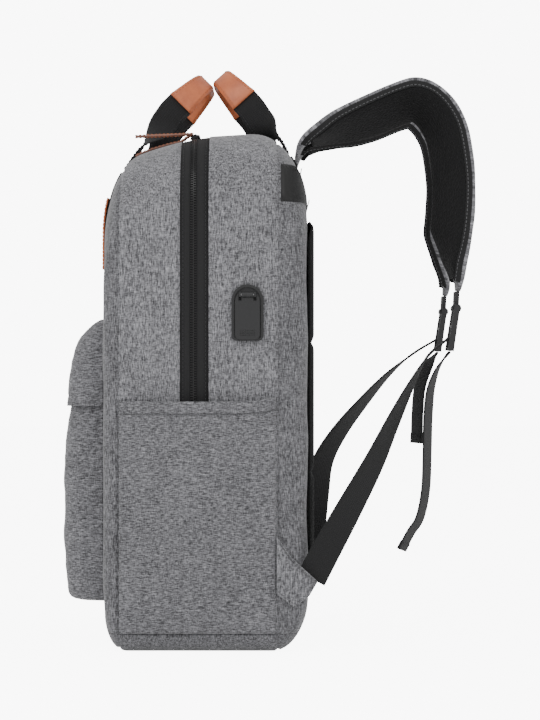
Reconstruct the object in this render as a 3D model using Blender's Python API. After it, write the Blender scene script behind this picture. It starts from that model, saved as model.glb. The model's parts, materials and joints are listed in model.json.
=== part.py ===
"""Laptop backpack with an outside USB port.

Origin: centre of the base, on the ground. +Z up, +Y towards the wearer's back, +X the wearer's right.
"""
import math

import bmesh
import bpy
from mathutils import Matrix, Vector

# ---------------------------------------------------------------- driving dimensions (metres)
BAG_WIDTH = 0.300
BAG_HEIGHT = 0.440
FRONT_Y = -0.081
BACK_Y = 0.092
WALL = 0.004            # fabric, foam and lining together
GAP = 0.0003            # between sewn or touching pieces
CUT_REACH = 0.400       # half size of the prisms that cut the shell

CORNER_TOP_R = 0.060    # seen from the front
CORNER_BASE_R = 0.020
FRONT_EDGE = 0.014      # rounding of the front panel's edge
BACK_EDGE = (0.025, 0.020)
TOP_CROWN = 0.0155      # how far the top falls towards the front
TOP_CREST_Y = 0.050
TOP_CROWN_RUN = 0.095
FRONT_TOP_CORNER = (0.034, 0.0605, 2.4)     # depth, drop, fullness
BACK_TOP_CORNER = (0.046, 0.065, 2.0)
FRONT_BASE_CORNER = (0.021, 0.035, 2.0)
BACK_BASE_CORNER = (0.030, 0.045, 2.0)

BASE_RISE = 0.016       # height of the base panel's seam
FOLD_Z = 0.300          # the upper front folds forward here
ZIP_END_Z = 0.210       # lower end of the zip, at the side pockets' rim
ZIP_FRONT_Y = -0.0153
ZIP_REAR_Y = 0.0087
TEETH_Y = -0.0040
COIL_HALF = 0.0025
COIL_INSET = 0.0002
COIL_DEPTH = 0.0032
TAPE_INSET = 0.0010
TAPE_DEPTH = 0.0018

POCKET_HALF_WIDTH = 0.118
POCKET_FRONT_Y = -0.1160
POCKET_BASE_Z = 0.040
POCKET_RIM_Z = 0.250
POCKET_WALL = 0.0025
LID_RIM_Z = 0.206
LID_TOP_Z = 0.2797
LID_WALL = 0.0022
LID_OVER = 0.0025       # how far the lid stands outside the pocket

SIDE_POCKET_FRONT_Y = -0.066
SIDE_POCKET_REAR_Y = 0.065
SIDE_POCKET_BULGE = 0.0095
SIDE_POCKET_WALL = 0.0020

WEB_WIDTH = 0.025
WEB_THICK = 0.0018
LEATHER_THICK = 0.0020
HANDLE_HALF_SPAN = 0.048
GRIP_THICK = 0.0050
GRIP_NARROW = 0.0175    # folded width at the middle of the grip
GRIP_ARCH_R = 0.030

STRAP_WIDTH = 0.062
STRAP_THICK = 0.0140
STRAP_SHELL_THICK = 0.0085
STRAP_ROLL = 24          # degrees that the strap's inner edge turns towards the bag
STRAP_ROOT_X = 0.052
STRAP_TIP_X = 0.078

PORT_CENTRE_Y = 0.0412
PORT_WIDTH = 0.0267
PORT_BASE_Z = 0.261
PORT_HEIGHT = 0.0470
PORT_FLANGE = 0.0035

COVER_THICK = 0.0020
PIN_R = 0.0010
SOCKET = (0.0125, 0.0052)   # opening of the socket, across and up

YOKE_THICK = 0.0022
YOKE_HALF_WIDTH = 0.115
BACK_PAD_THICK = 0.0040

EYE_HALF = 0.0050
EAR_THICK = 0.0022
FRONT_ANCHOR_Z = BAG_HEIGHT - 0.131
FLAT_FRONT_TOP = BAG_HEIGHT - 0.095     # the front panel is flat up to here
STRAP_ROOT_Y = BACK_Y - 0.0130
STRAP_ROOT_R = 0.0024
LOCK_BAR = (BACK_Y + 0.1285, BAG_HEIGHT - 0.1505)   # y and z of the bar that hangs in the strap's loop
LOCK_BAR_R = 0.0018
LOCK_RAIL = 0.0036
LOCK_PLAY = 0.0009      # on each side of the webbing, between the rails
LOCK_WIDTH = WEB_WIDTH + 2 * (LOCK_RAIL + LOCK_PLAY)
LOCK_LENGTH = 0.037
TAIL_TURN = 20          # degrees that the loose end turns out of the lock's plane
TAIL_POINTS = {"right": 10, "left": 6}      # the left strap is let out further
TAB_LIFT = 0.0009
TAB_THICK = 0.0022
LOWER_SEAT_X = BAG_WIDTH / 2 - 0.0038    # the lower webbing leaves the bag here, under its tab

SLIDER_LENGTH = 0.0120
SLIDER_THICK = 0.0024
SLIDER_RIGHT_X = BAG_WIDTH / 2 - CORNER_TOP_R - 0.001   # where the top begins to turn down
SLIDER_LEFT_X = SLIDER_RIGHT_X - 0.018
BAIL_R = 0.0014
BAIL_HALF = 0.0030
PULL_LIFT = 0.0016
PULL_LENGTH = 0.052
PULL_DROP = 0.0020      # fall of the straight pull, so that it clears the flat side
TAB_LENGTH = 0.074
TAB_BOW = 0.0028
SLEEVE_HALF_WIDTH = 0.125
SLEEVE_BASE_Z = 0.048
SLEEVE_TOP_Z = 0.300
SLEEVE_DEPTH = 0.026
SLEEVE_WALL = 0.004

POUCH_WIDTH = 0.046
POUCH_DEPTH = 0.0185
POUCH_BASE_Z = 0.100
POUCH_TOP_Z = 0.230
POUCH_REAR_Y = 0.059
POUCH_WALL = 0.0020


# ---------------------------------------------------------------- scene, materials and solids
def clear_scene():
    for thing in list(bpy.data.objects):
        bpy.data.objects.remove(thing, do_unlink=True)


def finish(name, colour, roughness, metallic=0.0):
    made = bpy.data.materials.new(name)
    made.use_nodes = True
    shader = made.node_tree.nodes["Principled BSDF"]
    shader.inputs["Base Color"].default_value = (*colour, 1.0)
    shader.inputs["Roughness"].default_value = roughness
    shader.inputs["Metallic"].default_value = metallic
    return made


def new_object(name, bm, material, pivot=(0.0, 0.0, 0.0)):
    """Turn a bmesh modelled in world space into an object whose origin is at pivot."""
    bmesh.ops.recalc_face_normals(bm, faces=bm.faces)
    bmesh.ops.translate(bm, verts=bm.verts, vec=-Vector(pivot))
    mesh = bpy.data.meshes.new(name)
    bm.to_mesh(mesh)
    bm.free()
    mesh.shade_smooth()
    mesh.set_sharp_from_angle(angle=math.radians(35))
    mesh.materials.append(material)
    thing = bpy.data.objects.new(name, mesh)
    thing.location = pivot
    bpy.context.collection.objects.link(thing)
    return thing


def loft(rings, closed=False):
    """Closed solid through rings of equal point counts, capped at both ends or joined end to start."""
    bm = bmesh.new()
    loops = [[bm.verts.new(point) for point in ring] for ring in rings]
    pairs = list(zip(loops, loops[1:]))
    if closed:
        pairs.append((loops[-1], loops[0]))
    for low, high in pairs:
        count = len(low)
        for i in range(count):
            j = (i + 1) % count
            bm.faces.new((low[i], low[j], high[j], high[i]))
    if not closed:
        bm.faces.new(loops[0][::-1])
        bm.faces.new(loops[-1])
    return bm


def prism(outline, low_x, high_x):
    """Outline of (y, z) points, extruded from low_x to high_x."""
    return loft([[(x, y, z) for y, z in outline] for x in (low_x, high_x)])


def box(low, high):
    corners = [(low[1], low[2]), (high[1], low[2]), (high[1], high[2]), (low[1], high[2])]
    return prism(corners, low[0], high[0])


def cylinder_x(y, z, radius, low_x, high_x, sides=16):
    turns = [2 * math.pi * i / sides for i in range(sides)]
    outline = [(y + radius * math.cos(t), z + radius * math.sin(t)) for t in turns]
    return prism(outline, low_x, high_x)


def boolean(target, bm, operation):
    """Cut, join or keep the overlap of an object with a solid, and drop the helper afterwards."""
    helper = new_object(target.name + "_tool", bm, target.data.materials[0])
    helper.hide_render = True
    helper.display_type = "WIRE"
    step = target.modifiers.new(operation.title(), "BOOLEAN")
    step.object = helper
    step.operation = operation
    step.solver = "EXACT"
    graph = bpy.context.evaluated_depsgraph_get()
    baked = bpy.data.meshes.new_from_object(target.evaluated_get(graph))
    target.modifiers.remove(step)
    target.data = baked
    baked.name = target.name
    bpy.data.objects.remove(helper, do_unlink=True)
    return target


def smooth_path(points, steps=4):
    """Catmull-Rom curve through the given points."""
    knots = [Vector(p) for p in points]
    knots = [2 * knots[0] - knots[1]] + knots + [2 * knots[-1] - knots[-2]]
    path = []
    for a, b, c, d in zip(knots, knots[1:], knots[2:], knots[3:]):
        for i in range(steps):
            t = i / steps
            path.append(0.5 * (2 * b + (c - a) * t + (2 * a - 5 * b + 4 * c - d) * t * t
                               + (3 * b - a - 3 * c + d) * t ** 3))
    path.append(knots[-2])
    return path


def directions(path):
    ends = [path[1] - path[0]]
    middle = [after - before for before, after in zip(path, path[2:])]
    return [step.normalized() for step in ends + middle + [path[-1] - path[-2]]]


def band(path, across, width, thick, lift=0.0):
    """Rings of a flat strip: across gives the width direction, lift moves it along its face normal."""
    rings = []
    for i, (point, along) in enumerate(zip(path, directions(path))):
        side = (across(i) if callable(across) else Vector(across)).normalized()
        out = along.cross(side).normalized()
        half = side * width(i) / 2 if callable(width) else side * width / 2
        deep = thick(i) if callable(thick) else thick
        middle = point + out * lift
        rings.append([middle + half + out * deep / 2, middle - half + out * deep / 2,
                      middle - half - out * deep / 2, middle + half - out * deep / 2])
    return rings


def twisted_loft(rings):
    """Closed solid whose opposite faces are split along the same diagonals, so that a twist keeps its thickness."""
    bm = bmesh.new()
    loops = [[bm.verts.new(point) for point in ring] for ring in rings]
    count = len(rings[0])
    for low, high in zip(loops, loops[1:]):
        for i in range(count):
            j = (i + 1) % count
            if i < count // 2:
                bm.faces.new((low[i], low[j], high[j]))
                bm.faces.new((low[i], high[j], high[i]))
            else:
                bm.faces.new((low[i], low[j], high[i]))
                bm.faces.new((low[j], high[j], high[i]))
    bm.faces.new(loops[0][::-1])
    bm.faces.new(loops[-1])
    return bm


def ribbon(path, across, width, thick):
    return twisted_loft(band(path, across, width, thick))


# ---------------------------------------------------------------- the bag's outer form
def corner_drop(y, start, size, sign):
    """How far an edge has fallen at y, for a rounded corner that starts at start."""
    depth, drop, fullness = size
    u = min(max(sign * (y - start) / depth, 0.0), 1.0)
    return drop * (1 - (1 - u ** fullness) ** (1 / fullness))


def top_z(y):
    crown = TOP_CROWN * ((TOP_CREST_Y - y) / TOP_CROWN_RUN) ** 2
    front = corner_drop(y, FRONT_Y + FRONT_TOP_CORNER[0], FRONT_TOP_CORNER, -1)
    back = corner_drop(y, BACK_Y - BACK_TOP_CORNER[0], BACK_TOP_CORNER, 1)
    return BAG_HEIGHT - crown - front - back


def base_z(y):
    front = corner_drop(y, FRONT_Y + FRONT_BASE_CORNER[0], FRONT_BASE_CORNER, -1)
    back = corner_drop(y, BACK_Y - BACK_BASE_CORNER[0], BACK_BASE_CORNER, 1)
    return front + back


def half_width(y):
    front = corner_drop(y, FRONT_Y + FRONT_EDGE, (FRONT_EDGE, FRONT_EDGE, 2.0), -1)
    back = corner_drop(y, BACK_Y - BACK_EDGE[0], (*BACK_EDGE, 2.0), 1)
    return BAG_WIDTH / 2 - front - back


def outline(y, half, low, high, inset):
    """Ring of the bag seen from the front: a rectangle with round corners."""
    half = half - inset
    low = low + inset
    high = high - inset
    top_r = CORNER_TOP_R - inset
    base_r = max(CORNER_BASE_R - inset, 0.004)
    corners = [(half - top_r, high - top_r, top_r, 0, 8), (-half + top_r, high - top_r, top_r, 90, 8),
               (-half + base_r, low + base_r, base_r, 180, 4), (half - base_r, low + base_r, base_r, 270, 4)]
    ring = []
    for cx, cz, radius, start, steps in corners:
        for i in range(steps + 1):
            turn = math.radians(start + 90 * i / steps)
            ring.append((cx + radius * math.cos(turn), y, cz + radius * math.sin(turn)))
    return ring


def stations():
    """(y, how far the form's normal has turned from the side, -1 front to +1 back)."""
    turns = [math.radians(t) for t in (0, 16, 32, 48, 64, 78)]
    front_deep = FRONT_TOP_CORNER[0]
    back_deep = BACK_TOP_CORNER[0]
    rows = [(FRONT_Y + front_deep * (1 - math.cos(t)), -1) for t in turns]
    rows += [(FRONT_Y + front_deep, 0), (-0.030, 0), (ZIP_FRONT_Y, 0), (TEETH_Y, 0), (ZIP_REAR_Y, 0)]
    rows += [(0.028, 0), (BACK_Y - back_deep, 0)]
    rows += [(BACK_Y - back_deep * (1 - math.cos(t)), 1) for t in turns[::-1]]
    return rows


def bag_form(inset):
    """Closed solid of the bag's form, inset by the wall's thickness."""
    rings = []
    for y, side in stations():
        facing = 0.0
        if side < 0:
            facing = max(1 - (y - FRONT_Y) / FRONT_EDGE, 0.0)
        if side > 0:
            facing = max(1 - (BACK_Y - y) / BACK_EDGE[0], 0.0)
        flank = math.sqrt(1 - facing ** 2)
        rings.append(outline(y - side * inset * facing, half_width(y), base_z(y), top_z(y), inset * flank))
    return loft(rings)


def shell_part(name, keep, material):
    """The part of the bag's wall that lies inside a prism."""
    thing = new_object(name, bag_form(0.0), material)
    boolean(thing, bag_form(WALL), "DIFFERENCE")
    boolean(thing, prism(keep, -CUT_REACH, CUT_REACH), "INTERSECT")
    return thing


def top_normal(y):
    step = 0.0004
    slope = (top_z(y + step) - top_z(y - step)) / (2 * step)
    return Vector((0, -slope, 1)).normalized()


def above_top(y, lift):
    """Point that stands lift above the bag's top or its rounded upper corners."""
    return Vector((0, y, top_z(y))) + top_normal(y) * lift


def front_seat(low_z, ys):
    """Points and normals up the flat front and over its rounded top edge."""
    flat = Vector((0, -1, 0))
    straight = FLAT_FRONT_TOP - low_z
    seat = [(Vector((0, FRONT_Y, low_z + straight * i / 3)), flat) for i in range(4)]
    return seat + [(Vector((0, y, top_z(y))), top_normal(y)) for y in ys]


def seat_strip(seat, x, width, low, high):
    """Rings of a strip that lies on a seat between two heights above it."""
    rings = []
    for point, normal in seat:
        near = point + normal * low
        far = point + normal * high
        rings.append([Vector((x - width / 2, near.y, near.z)), Vector((x + width / 2, near.y, near.z)),
                      Vector((x + width / 2, far.y, far.z)), Vector((x - width / 2, far.y, far.z))])
    return rings


def swing(thing, pivot):
    """Move an object's origin onto its joint's axis, with its shape where it was."""
    pivot = Vector(pivot)
    thing.data.transform(Matrix.Translation(thing.location - pivot))
    thing.location = pivot
    return thing


# ---------------------------------------------------------------- bag: shell, base, back
def make_shell():
    high = BAG_HEIGHT + CUT_REACH
    far = CUT_REACH
    seam = BASE_RISE + GAP
    base = [(-far, -far), (far, -far), (far, BASE_RISE), (-far, BASE_RISE)]
    shell_part("base_panel", base, FABRIC)
    rear = [(ZIP_REAR_Y, seam), (far, seam), (far, high), (ZIP_REAR_Y, high)]
    shell_part("rear_shell", rear, FABRIC)
    front = [(-far, seam), (ZIP_REAR_Y - GAP, seam), (ZIP_REAR_Y - GAP, ZIP_END_Z), (ZIP_FRONT_Y, ZIP_END_Z),
             (ZIP_FRONT_Y, FOLD_Z), (-far, FOLD_Z)]
    shell_part("front_panel", front, FABRIC)
    cover = [(-far, FOLD_Z + GAP), (ZIP_FRONT_Y, FOLD_Z + GAP), (ZIP_FRONT_Y, high), (-far, high)]
    swing(shell_part("front_cover", cover, FABRIC), (0, FRONT_Y, FOLD_Z))


def make_back_pad():
    """Padded mesh panel on the wearer's side, domed a little at its middle."""
    base = BACK_BASE_CORNER[1] + 0.002
    top = BAG_HEIGHT - BACK_TOP_CORNER[1] - 0.012
    half = BAG_WIDTH / 2 - BACK_EDGE[1] - 0.004
    rings = []
    for lift, trim in ((GAP, 0.0), (BACK_PAD_THICK * 0.6, 0.001), (BACK_PAD_THICK, 0.008)):
        ring = []
        for cx, cz, start in ((half, top, 0), (-half, top, 90), (-half, base, 180), (half, base, 270)):
            radius = 0.020
            mx = math.copysign(abs(cx) - trim - radius, cx)
            mz = cz - math.copysign(trim + radius, cz - (base + top) / 2)
            for i in range(5):
                turn = math.radians(start + 22.5 * i)
                ring.append((mx + radius * math.cos(turn), BACK_Y + lift, mz + radius * math.sin(turn)))
        rings.append(ring)
    new_object("back_pad", loft(rings), MESH)


def make_yoke():
    """Coated patch across the top of the back, where the straps and the rear handle are sewn."""
    ys = [BACK_Y - 0.0085 + 0.0081 * i / 6 for i in range(7)]
    seat = [(Vector((0, y, top_z(y))), top_normal(y)) for y in ys]
    rings = seat_strip(seat, 0.0, 2 * YOKE_HALF_WIDTH, GAP, GAP + YOKE_THICK)
    new_object("strap_yoke", loft(rings), COATED)


# ---------------------------------------------------------------- zip
def zip_band(name, low_y, high_y, inset, depth, keep_z, material, keep_x=(-CUT_REACH, CUT_REACH)):
    """Strip that follows the bag's outline between two depths, kept between two heights."""
    rings = []
    for y, level in ((low_y, inset), (high_y, inset), (high_y, inset + depth), (low_y, inset + depth)):
        rings.append(outline(y, half_width(y), base_z(y), top_z(y), level))
    thing = new_object(name, loft(rings, closed=True), material)
    keep = box((keep_x[0], -CUT_REACH, keep_z[0]), (keep_x[1], CUT_REACH, keep_z[1]))
    return boolean(thing, keep, "INTERSECT")


def make_zip():
    lower = (ZIP_END_Z + GAP, FOLD_Z)
    upper = (FOLD_Z + GAP, BAG_HEIGHT + CUT_REACH)
    whole = (ZIP_END_Z + GAP, BAG_HEIGHT + CUT_REACH)
    coil_front = (TEETH_Y - COIL_HALF, TEETH_Y - GAP / 2)
    coil_rear = (TEETH_Y + GAP / 2, TEETH_Y + COIL_HALF)
    tape_front = (ZIP_FRONT_Y + GAP, coil_front[0] - GAP)
    tape_rear = (coil_rear[1] + GAP, ZIP_REAR_Y - GAP)
    pivot = (0, FRONT_Y, FOLD_Z)
    swing(zip_band("zipper_tape_front", *tape_front, TAPE_INSET, TAPE_DEPTH, upper, TAPE), pivot)
    swing(zip_band("zipper_coil_front", *coil_front, COIL_INSET, COIL_DEPTH, upper, COIL), pivot)
    for side, keep_x in (("right", (0, CUT_REACH)), ("left", (-CUT_REACH, 0))):
        zip_band("zipper_tape_lower_" + side, *tape_front, TAPE_INSET, TAPE_DEPTH, lower, TAPE, keep_x)
        zip_band("zipper_coil_lower_" + side, *coil_front, COIL_INSET, COIL_DEPTH, lower, COIL, keep_x)
    zip_band("zipper_tape_rear", *tape_rear, TAPE_INSET, TAPE_DEPTH, whole, TAPE)
    zip_band("zipper_coil_rear", *coil_rear, COIL_INSET, COIL_DEPTH, whole, COIL)


def slider_seat(y):
    """Height of the slider's underside, y away from the teeth, which follows the crowned top."""
    return top_z(TEETH_Y + y) - COIL_INSET + GAP + 0.0001


def make_slider(side, slider_x, pivot):
    """Slider body over the teeth, with a bail that carries the pull."""
    rings = []
    for dx, half in ((-SLIDER_LENGTH / 2, 0.0030), (-SLIDER_LENGTH / 4, 0.0044), (SLIDER_LENGTH / 4, 0.0044),
                     (SLIDER_LENGTH / 2, 0.0030)):
        ring = [(-half, 0.0), (half, 0.0), (half * 0.8, SLIDER_THICK), (-half * 0.8, SLIDER_THICK)]
        rings.append([(slider_x + dx, TEETH_Y + y, slider_seat(y) + z) for y, z in ring])
    body = new_object("zipper_slider_" + side, loft(rings), BLACK_METAL)
    bail_z = slider_seat(0.0) + SLIDER_THICK
    bail = cylinder_x(TEETH_Y, bail_z, BAIL_R, slider_x - BAIL_HALF, slider_x + BAIL_HALF)
    boolean(body, bail, "UNION")
    swing(body, pivot)


def make_pull(side, slider_x, lies_down):
    """Leather strip that points forward from its slider, straight out or lying on the crowned top."""
    hinge = Vector((slider_x, TEETH_Y, slider_seat(0.0) + SLIDER_THICK))
    over = GAP + LEATHER_THICK / 2
    path = [hinge + Vector((0, -BAIL_R - GAP, over)), hinge + Vector((0, -0.0060, over))]
    for y in (-0.017, -0.026, -0.037, -0.047, -0.0555):
        straight = Vector((slider_x, y, hinge.z + over + PULL_DROP * (y - TEETH_Y) / PULL_LENGTH))
        path.append(Vector((slider_x, 0, 0)) + above_top(y, PULL_LIFT) if lies_down else straight)
    widths = [0.0050, 0.0062, 0.0072, 0.0078, 0.0080, 0.0080, 0.0056]
    strip = ribbon(path, (1, 0, 0), lambda i: widths[i], LEATHER_THICK)
    new_object("zip_pull_" + side, strip, PULL_LEATHER, hinge)


# ---------------------------------------------------------------- front pocket and its lid
def pocket_ring(z, front_y, half, radius, inset=0.0, back=FRONT_Y - GAP):
    """Plan of the pocket: flat behind, with round front corners."""
    ring = [(half - inset, back, z)]
    for cx, start in ((half - radius, 0), (-half + radius, -90)):
        for i in range(6):
            turn = math.radians(start - 18 * i)
            ring.append((cx + (radius - inset) * math.cos(turn),
                         front_y + radius + (radius - inset) * math.sin(turn), z))
    ring.append((-half + inset, back, z))
    return ring


def make_front_pocket():
    deep = POCKET_FRONT_Y
    half = POCKET_HALF_WIDTH
    levels = [(POCKET_BASE_Z, deep + 0.0115, half - 0.010), (POCKET_BASE_Z + 0.003, deep + 0.0055, half - 0.004),
              (POCKET_BASE_Z + 0.010, deep + 0.0025, half - 0.001), (POCKET_BASE_Z + 0.035, deep + 0.0005, half),
              (POCKET_BASE_Z + 0.107, deep, half), (POCKET_BASE_Z + 0.135, deep + 0.001, half),
              (LID_RIM_Z, deep + 0.0055, half - 0.0015), (POCKET_RIM_Z, deep + 0.0125, half - 0.0025)]
    pouch = new_object("front_pocket", loft([pocket_ring(z, y, w, 0.020) for z, y, w in levels]), FABRIC)
    inside = [(z + POCKET_WALL if z == POCKET_BASE_Z else z, y, w) for z, y, w in levels]
    inside.append((POCKET_RIM_Z + 0.010, inside[-1][1], inside[-1][2]))
    rings = [pocket_ring(z, y, w, 0.020, POCKET_WALL, FRONT_Y + 0.010) for z, y, w in inside]
    boolean(pouch, loft(rings), "DIFFERENCE")


def make_pocket_lid():
    half = POCKET_HALF_WIDTH + LID_OVER
    top = LID_TOP_Z
    deep = POCKET_FRONT_Y
    hinge = (0, FRONT_Y - GAP - 0.0012, top)
    levels = [(LID_RIM_Z, deep + 0.0024, half), (LID_RIM_Z + 0.020, deep + 0.0041, half - 0.0006),
              (LID_RIM_Z + 0.038, deep + 0.0060, half - 0.0014), (top - 0.0245, deep + 0.0094, half - 0.0030),
              (top - 0.0145, deep + 0.0138, half - 0.0070), (top - 0.0050, deep + 0.0225, half - 0.0150),
              (top, deep + 0.0310, half - 0.0240)]
    radii = [0.020, 0.020, 0.020, 0.020, 0.018, 0.0115, 0.0030]
    rings = [pocket_ring(z, y, w, r) for (z, y, w), r in zip(levels, radii)]
    lid = new_object("pocket_lid", loft(rings), FABRIC)
    hollow = [pocket_ring(LID_RIM_Z - 0.010, levels[0][1], half, 0.020, LID_WALL, FRONT_Y + 0.010)]
    for (z, y, w), r in list(zip(levels, radii))[:5]:
        hollow.append(pocket_ring(z, y, w, r, LID_WALL, FRONT_Y + 0.010))
    hollow.append(pocket_ring(top - 0.0078, levels[5][1] + 0.0010, levels[5][2] - 0.001, 0.0115, LID_WALL,
                              FRONT_Y + 0.010))
    boolean(lid, loft(hollow), "DIFFERENCE")
    swing(lid, hinge)


def make_pocket_tab():
    """Leather strap sewn down the pocket's front, bowed out at its middle."""
    path = []
    for i in range(9):
        t = i / 8
        bow = TAB_BOW * math.sin(math.pi * t) ** 0.7
        z = POCKET_BASE_Z + 0.032 + TAB_LENGTH * t
        path.append(Vector((0, POCKET_FRONT_Y - GAP - LEATHER_THICK / 2 - bow, z)))
    new_object("pocket_tab", ribbon(path, (1, 0, 0), 0.025, LEATHER_THICK), LEATHER)


# ---------------------------------------------------------------- side pockets
def make_side_pocket(side, sign):
    """Flat pocket that bows off the bag's side, open at the top."""
    wall_x = BAG_WIDTH / 2 + GAP
    base = BASE_RISE + 2 * GAP
    levels = [(base, 0.02), (base + 0.006, 0.30), (base + 0.018, 0.70), (base + 0.050, 1.0),
              (ZIP_END_Z - 0.045, 1.0), (ZIP_END_Z, 0.96)]
    ys = [SIDE_POCKET_FRONT_Y + (SIDE_POCKET_REAR_Y - SIDE_POCKET_FRONT_Y) * (1 - math.cos(math.pi * i / 12)) / 2
          for i in range(13)]

    def bow(y, share):
        middle = (SIDE_POCKET_FRONT_Y + SIDE_POCKET_REAR_Y) / 2
        half = (SIDE_POCKET_REAR_Y - SIDE_POCKET_FRONT_Y) / 2
        return SIDE_POCKET_BULGE * share * max(1 - abs((y - middle) / half) ** 2.6, 0.0)

    rings = []
    for z, share in levels:
        outer = [(sign * (wall_x + SIDE_POCKET_WALL + bow(y, share)), y, z) for y in ys]
        rings.append(outer + [(sign * wall_x, ys[-1], z), (sign * wall_x, ys[0], z)])
    panel = new_object("side_pocket_" + side, loft(rings), FABRIC)
    inside = []
    trim = 0.004
    inner_ys = [ys[0] + trim + (ys[-1] - ys[0] - 2 * trim) * (1 - math.cos(math.pi * i / 12)) / 2
                for i in range(13)]
    for z, share in [(base + 0.004, 0.10), (base + 0.018, 0.62)] + levels[3:] + [(ZIP_END_Z + 0.01, 0.96)]:
        face = [(sign * (wall_x + bow(y, share) + 0.00005), y, z) for y in inner_ys]
        inside.append(face + [(sign * (wall_x - 0.01), inner_ys[-1], z), (sign * (wall_x - 0.01), inner_ys[0], z)])
    boolean(panel, loft(inside), "DIFFERENCE")


# ---------------------------------------------------------------- USB port in the right side
def arch(width, base, height, centre_y=PORT_CENTRE_Y, trim=0.0, base_r=0.004):
    """Outline (y, z): round at the top, with small round corners at the base."""
    half = width / 2 - trim
    low = base + trim
    high = base + height - trim
    points = []
    for i in range(13):
        turn = math.pi * i / 12
        points.append((centre_y + half * math.cos(turn), high - half + half * math.sin(turn)))
    radius = max(base_r - trim, 0.001)
    for cy, start in ((centre_y - half + radius, 180), (centre_y + half - radius, 270)):
        for i in range(4):
            turn = math.radians(start + 30 * i)
            points.append((cy + radius * math.cos(turn), low + radius + radius * math.sin(turn)))
    return points


def make_usb_port():
    wall = BAG_WIDTH / 2
    inner = wall - WALL
    shell = bpy.data.objects["rear_shell"]
    hole_trim = 0.0040
    boolean(shell, prism(arch(PORT_WIDTH, PORT_BASE_Z, PORT_HEIGHT, trim=hole_trim), inner - 0.01, wall + 0.01),
            "DIFFERENCE")
    housing = new_object("usb_housing", prism(arch(PORT_WIDTH, PORT_BASE_Z, PORT_HEIGHT), wall + GAP,
                                              wall + PORT_FLANGE), PLASTIC)
    neck = arch(PORT_WIDTH, PORT_BASE_Z, PORT_HEIGHT, trim=hole_trim + GAP)
    boolean(housing, prism(neck, inner - GAP, wall + 2 * GAP), "UNION")
    seat = arch(PORT_WIDTH, PORT_BASE_Z, PORT_HEIGHT, trim=0.0022)
    boolean(housing, prism(seat, wall + PORT_FLANGE - 0.0015, wall + 0.01), "DIFFERENCE")
    socket_z = PORT_BASE_Z + 0.018
    low = (inner - 0.02, PORT_CENTRE_Y - SOCKET[0] / 2 - GAP, socket_z - SOCKET[1] / 2 - GAP)
    high = (wall + 0.01, PORT_CENTRE_Y + SOCKET[0] / 2 + GAP, socket_z + SOCKET[1] / 2 + GAP)
    boolean(housing, box(low, high), "DIFFERENCE")
    plate = new_object("usb_backing_plate",
                       prism(arch(PORT_WIDTH + 0.004, PORT_BASE_Z - 0.002, PORT_HEIGHT + 0.004),
                             inner - 0.0022, inner - 2 * GAP), PLASTIC)
    boolean(plate, box(low, high), "DIFFERENCE")
    face = wall + PORT_FLANGE - 0.0020
    socket = new_object("usb_socket", box((face - 0.014, low[1] + GAP, low[2] + GAP),
                                          (face, high[1] - GAP, high[2] - GAP)), STEEL)
    lining = 0.0005
    boolean(socket, box((face - 0.012, low[1] + GAP + lining, low[2] + GAP + lining),
                        (face + 0.01, high[1] - GAP - lining, high[2] - GAP - lining)), "DIFFERENCE")
    tongue = box((face - 0.0125, PORT_CENTRE_Y - SOCKET[0] / 2 + 0.0012, socket_z + 0.0006),
                 (face - 0.0012, PORT_CENTRE_Y + SOCKET[0] / 2 - 0.0012, socket_z + 0.0020))
    boolean(socket, tongue, "UNION")
    make_usb_cover(wall + PORT_FLANGE)


def make_usb_cover(face):
    """Plate that lies over the port and flips up about a pin in two ears of the housing."""
    pin_z = PORT_BASE_Z + PORT_HEIGHT - 0.0085
    pin_x = face + GAP + COVER_THICK + 0.0002
    bore_r = PIN_R + GAP
    housing = bpy.data.objects["usb_housing"]
    flat = arch(PORT_WIDTH - 0.0060, PORT_BASE_Z + 0.0010, PORT_HEIGHT - 0.0050)
    cover = new_object("usb_cover", prism(flat, face + GAP, face + GAP + COVER_THICK), PLASTIC)
    boolean(cover, cylinder_y(pin_x, pin_z, bore_r + 0.0012, PORT_CENTRE_Y - EYE_HALF, PORT_CENTRE_Y + EYE_HALF),
            "UNION")
    boolean(cover, box((face - 0.01, -1, pin_z + 0.0016), (face + 0.02, 1, pin_z + 0.05)), "DIFFERENCE")
    boolean(cover, box((face - 0.01, -1, pin_z - 0.05), (face + GAP, 1, pin_z + 0.05)), "DIFFERENCE")
    boolean(cover, cylinder_y(pin_x, pin_z, bore_r, PORT_CENTRE_Y - 0.02, PORT_CENTRE_Y + 0.02), "DIFFERENCE")
    for sign in (-1, 1):
        ends = sorted((PORT_CENTRE_Y + sign * (EYE_HALF + GAP), PORT_CENTRE_Y + sign * (EYE_HALF + EAR_THICK)))
        slot = sorted((PORT_CENTRE_Y + sign * EYE_HALF, PORT_CENTRE_Y + sign * (EYE_HALF + EAR_THICK + GAP)))
        boolean(cover, box((face - 0.01, slot[0], pin_z - 0.0050), (face + 0.02, slot[1], pin_z + 0.05)),
                "DIFFERENCE")
        ear = box((face - 0.0025, ends[0], pin_z - 0.0020), (pin_x + 0.0020, ends[1], pin_z + 0.0020))
        boolean(housing, ear, "UNION")
    boolean(housing, cylinder_y(pin_x, pin_z, bore_r, PORT_CENTRE_Y - 0.02, PORT_CENTRE_Y + 0.02), "DIFFERENCE")
    swing(cover, (pin_x, PORT_CENTRE_Y, pin_z))
    reach = EYE_HALF + EAR_THICK
    new_object("usb_hinge_pin", cylinder_y(pin_x, pin_z, PIN_R, PORT_CENTRE_Y - reach, PORT_CENTRE_Y + reach),
               STEEL)


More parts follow.
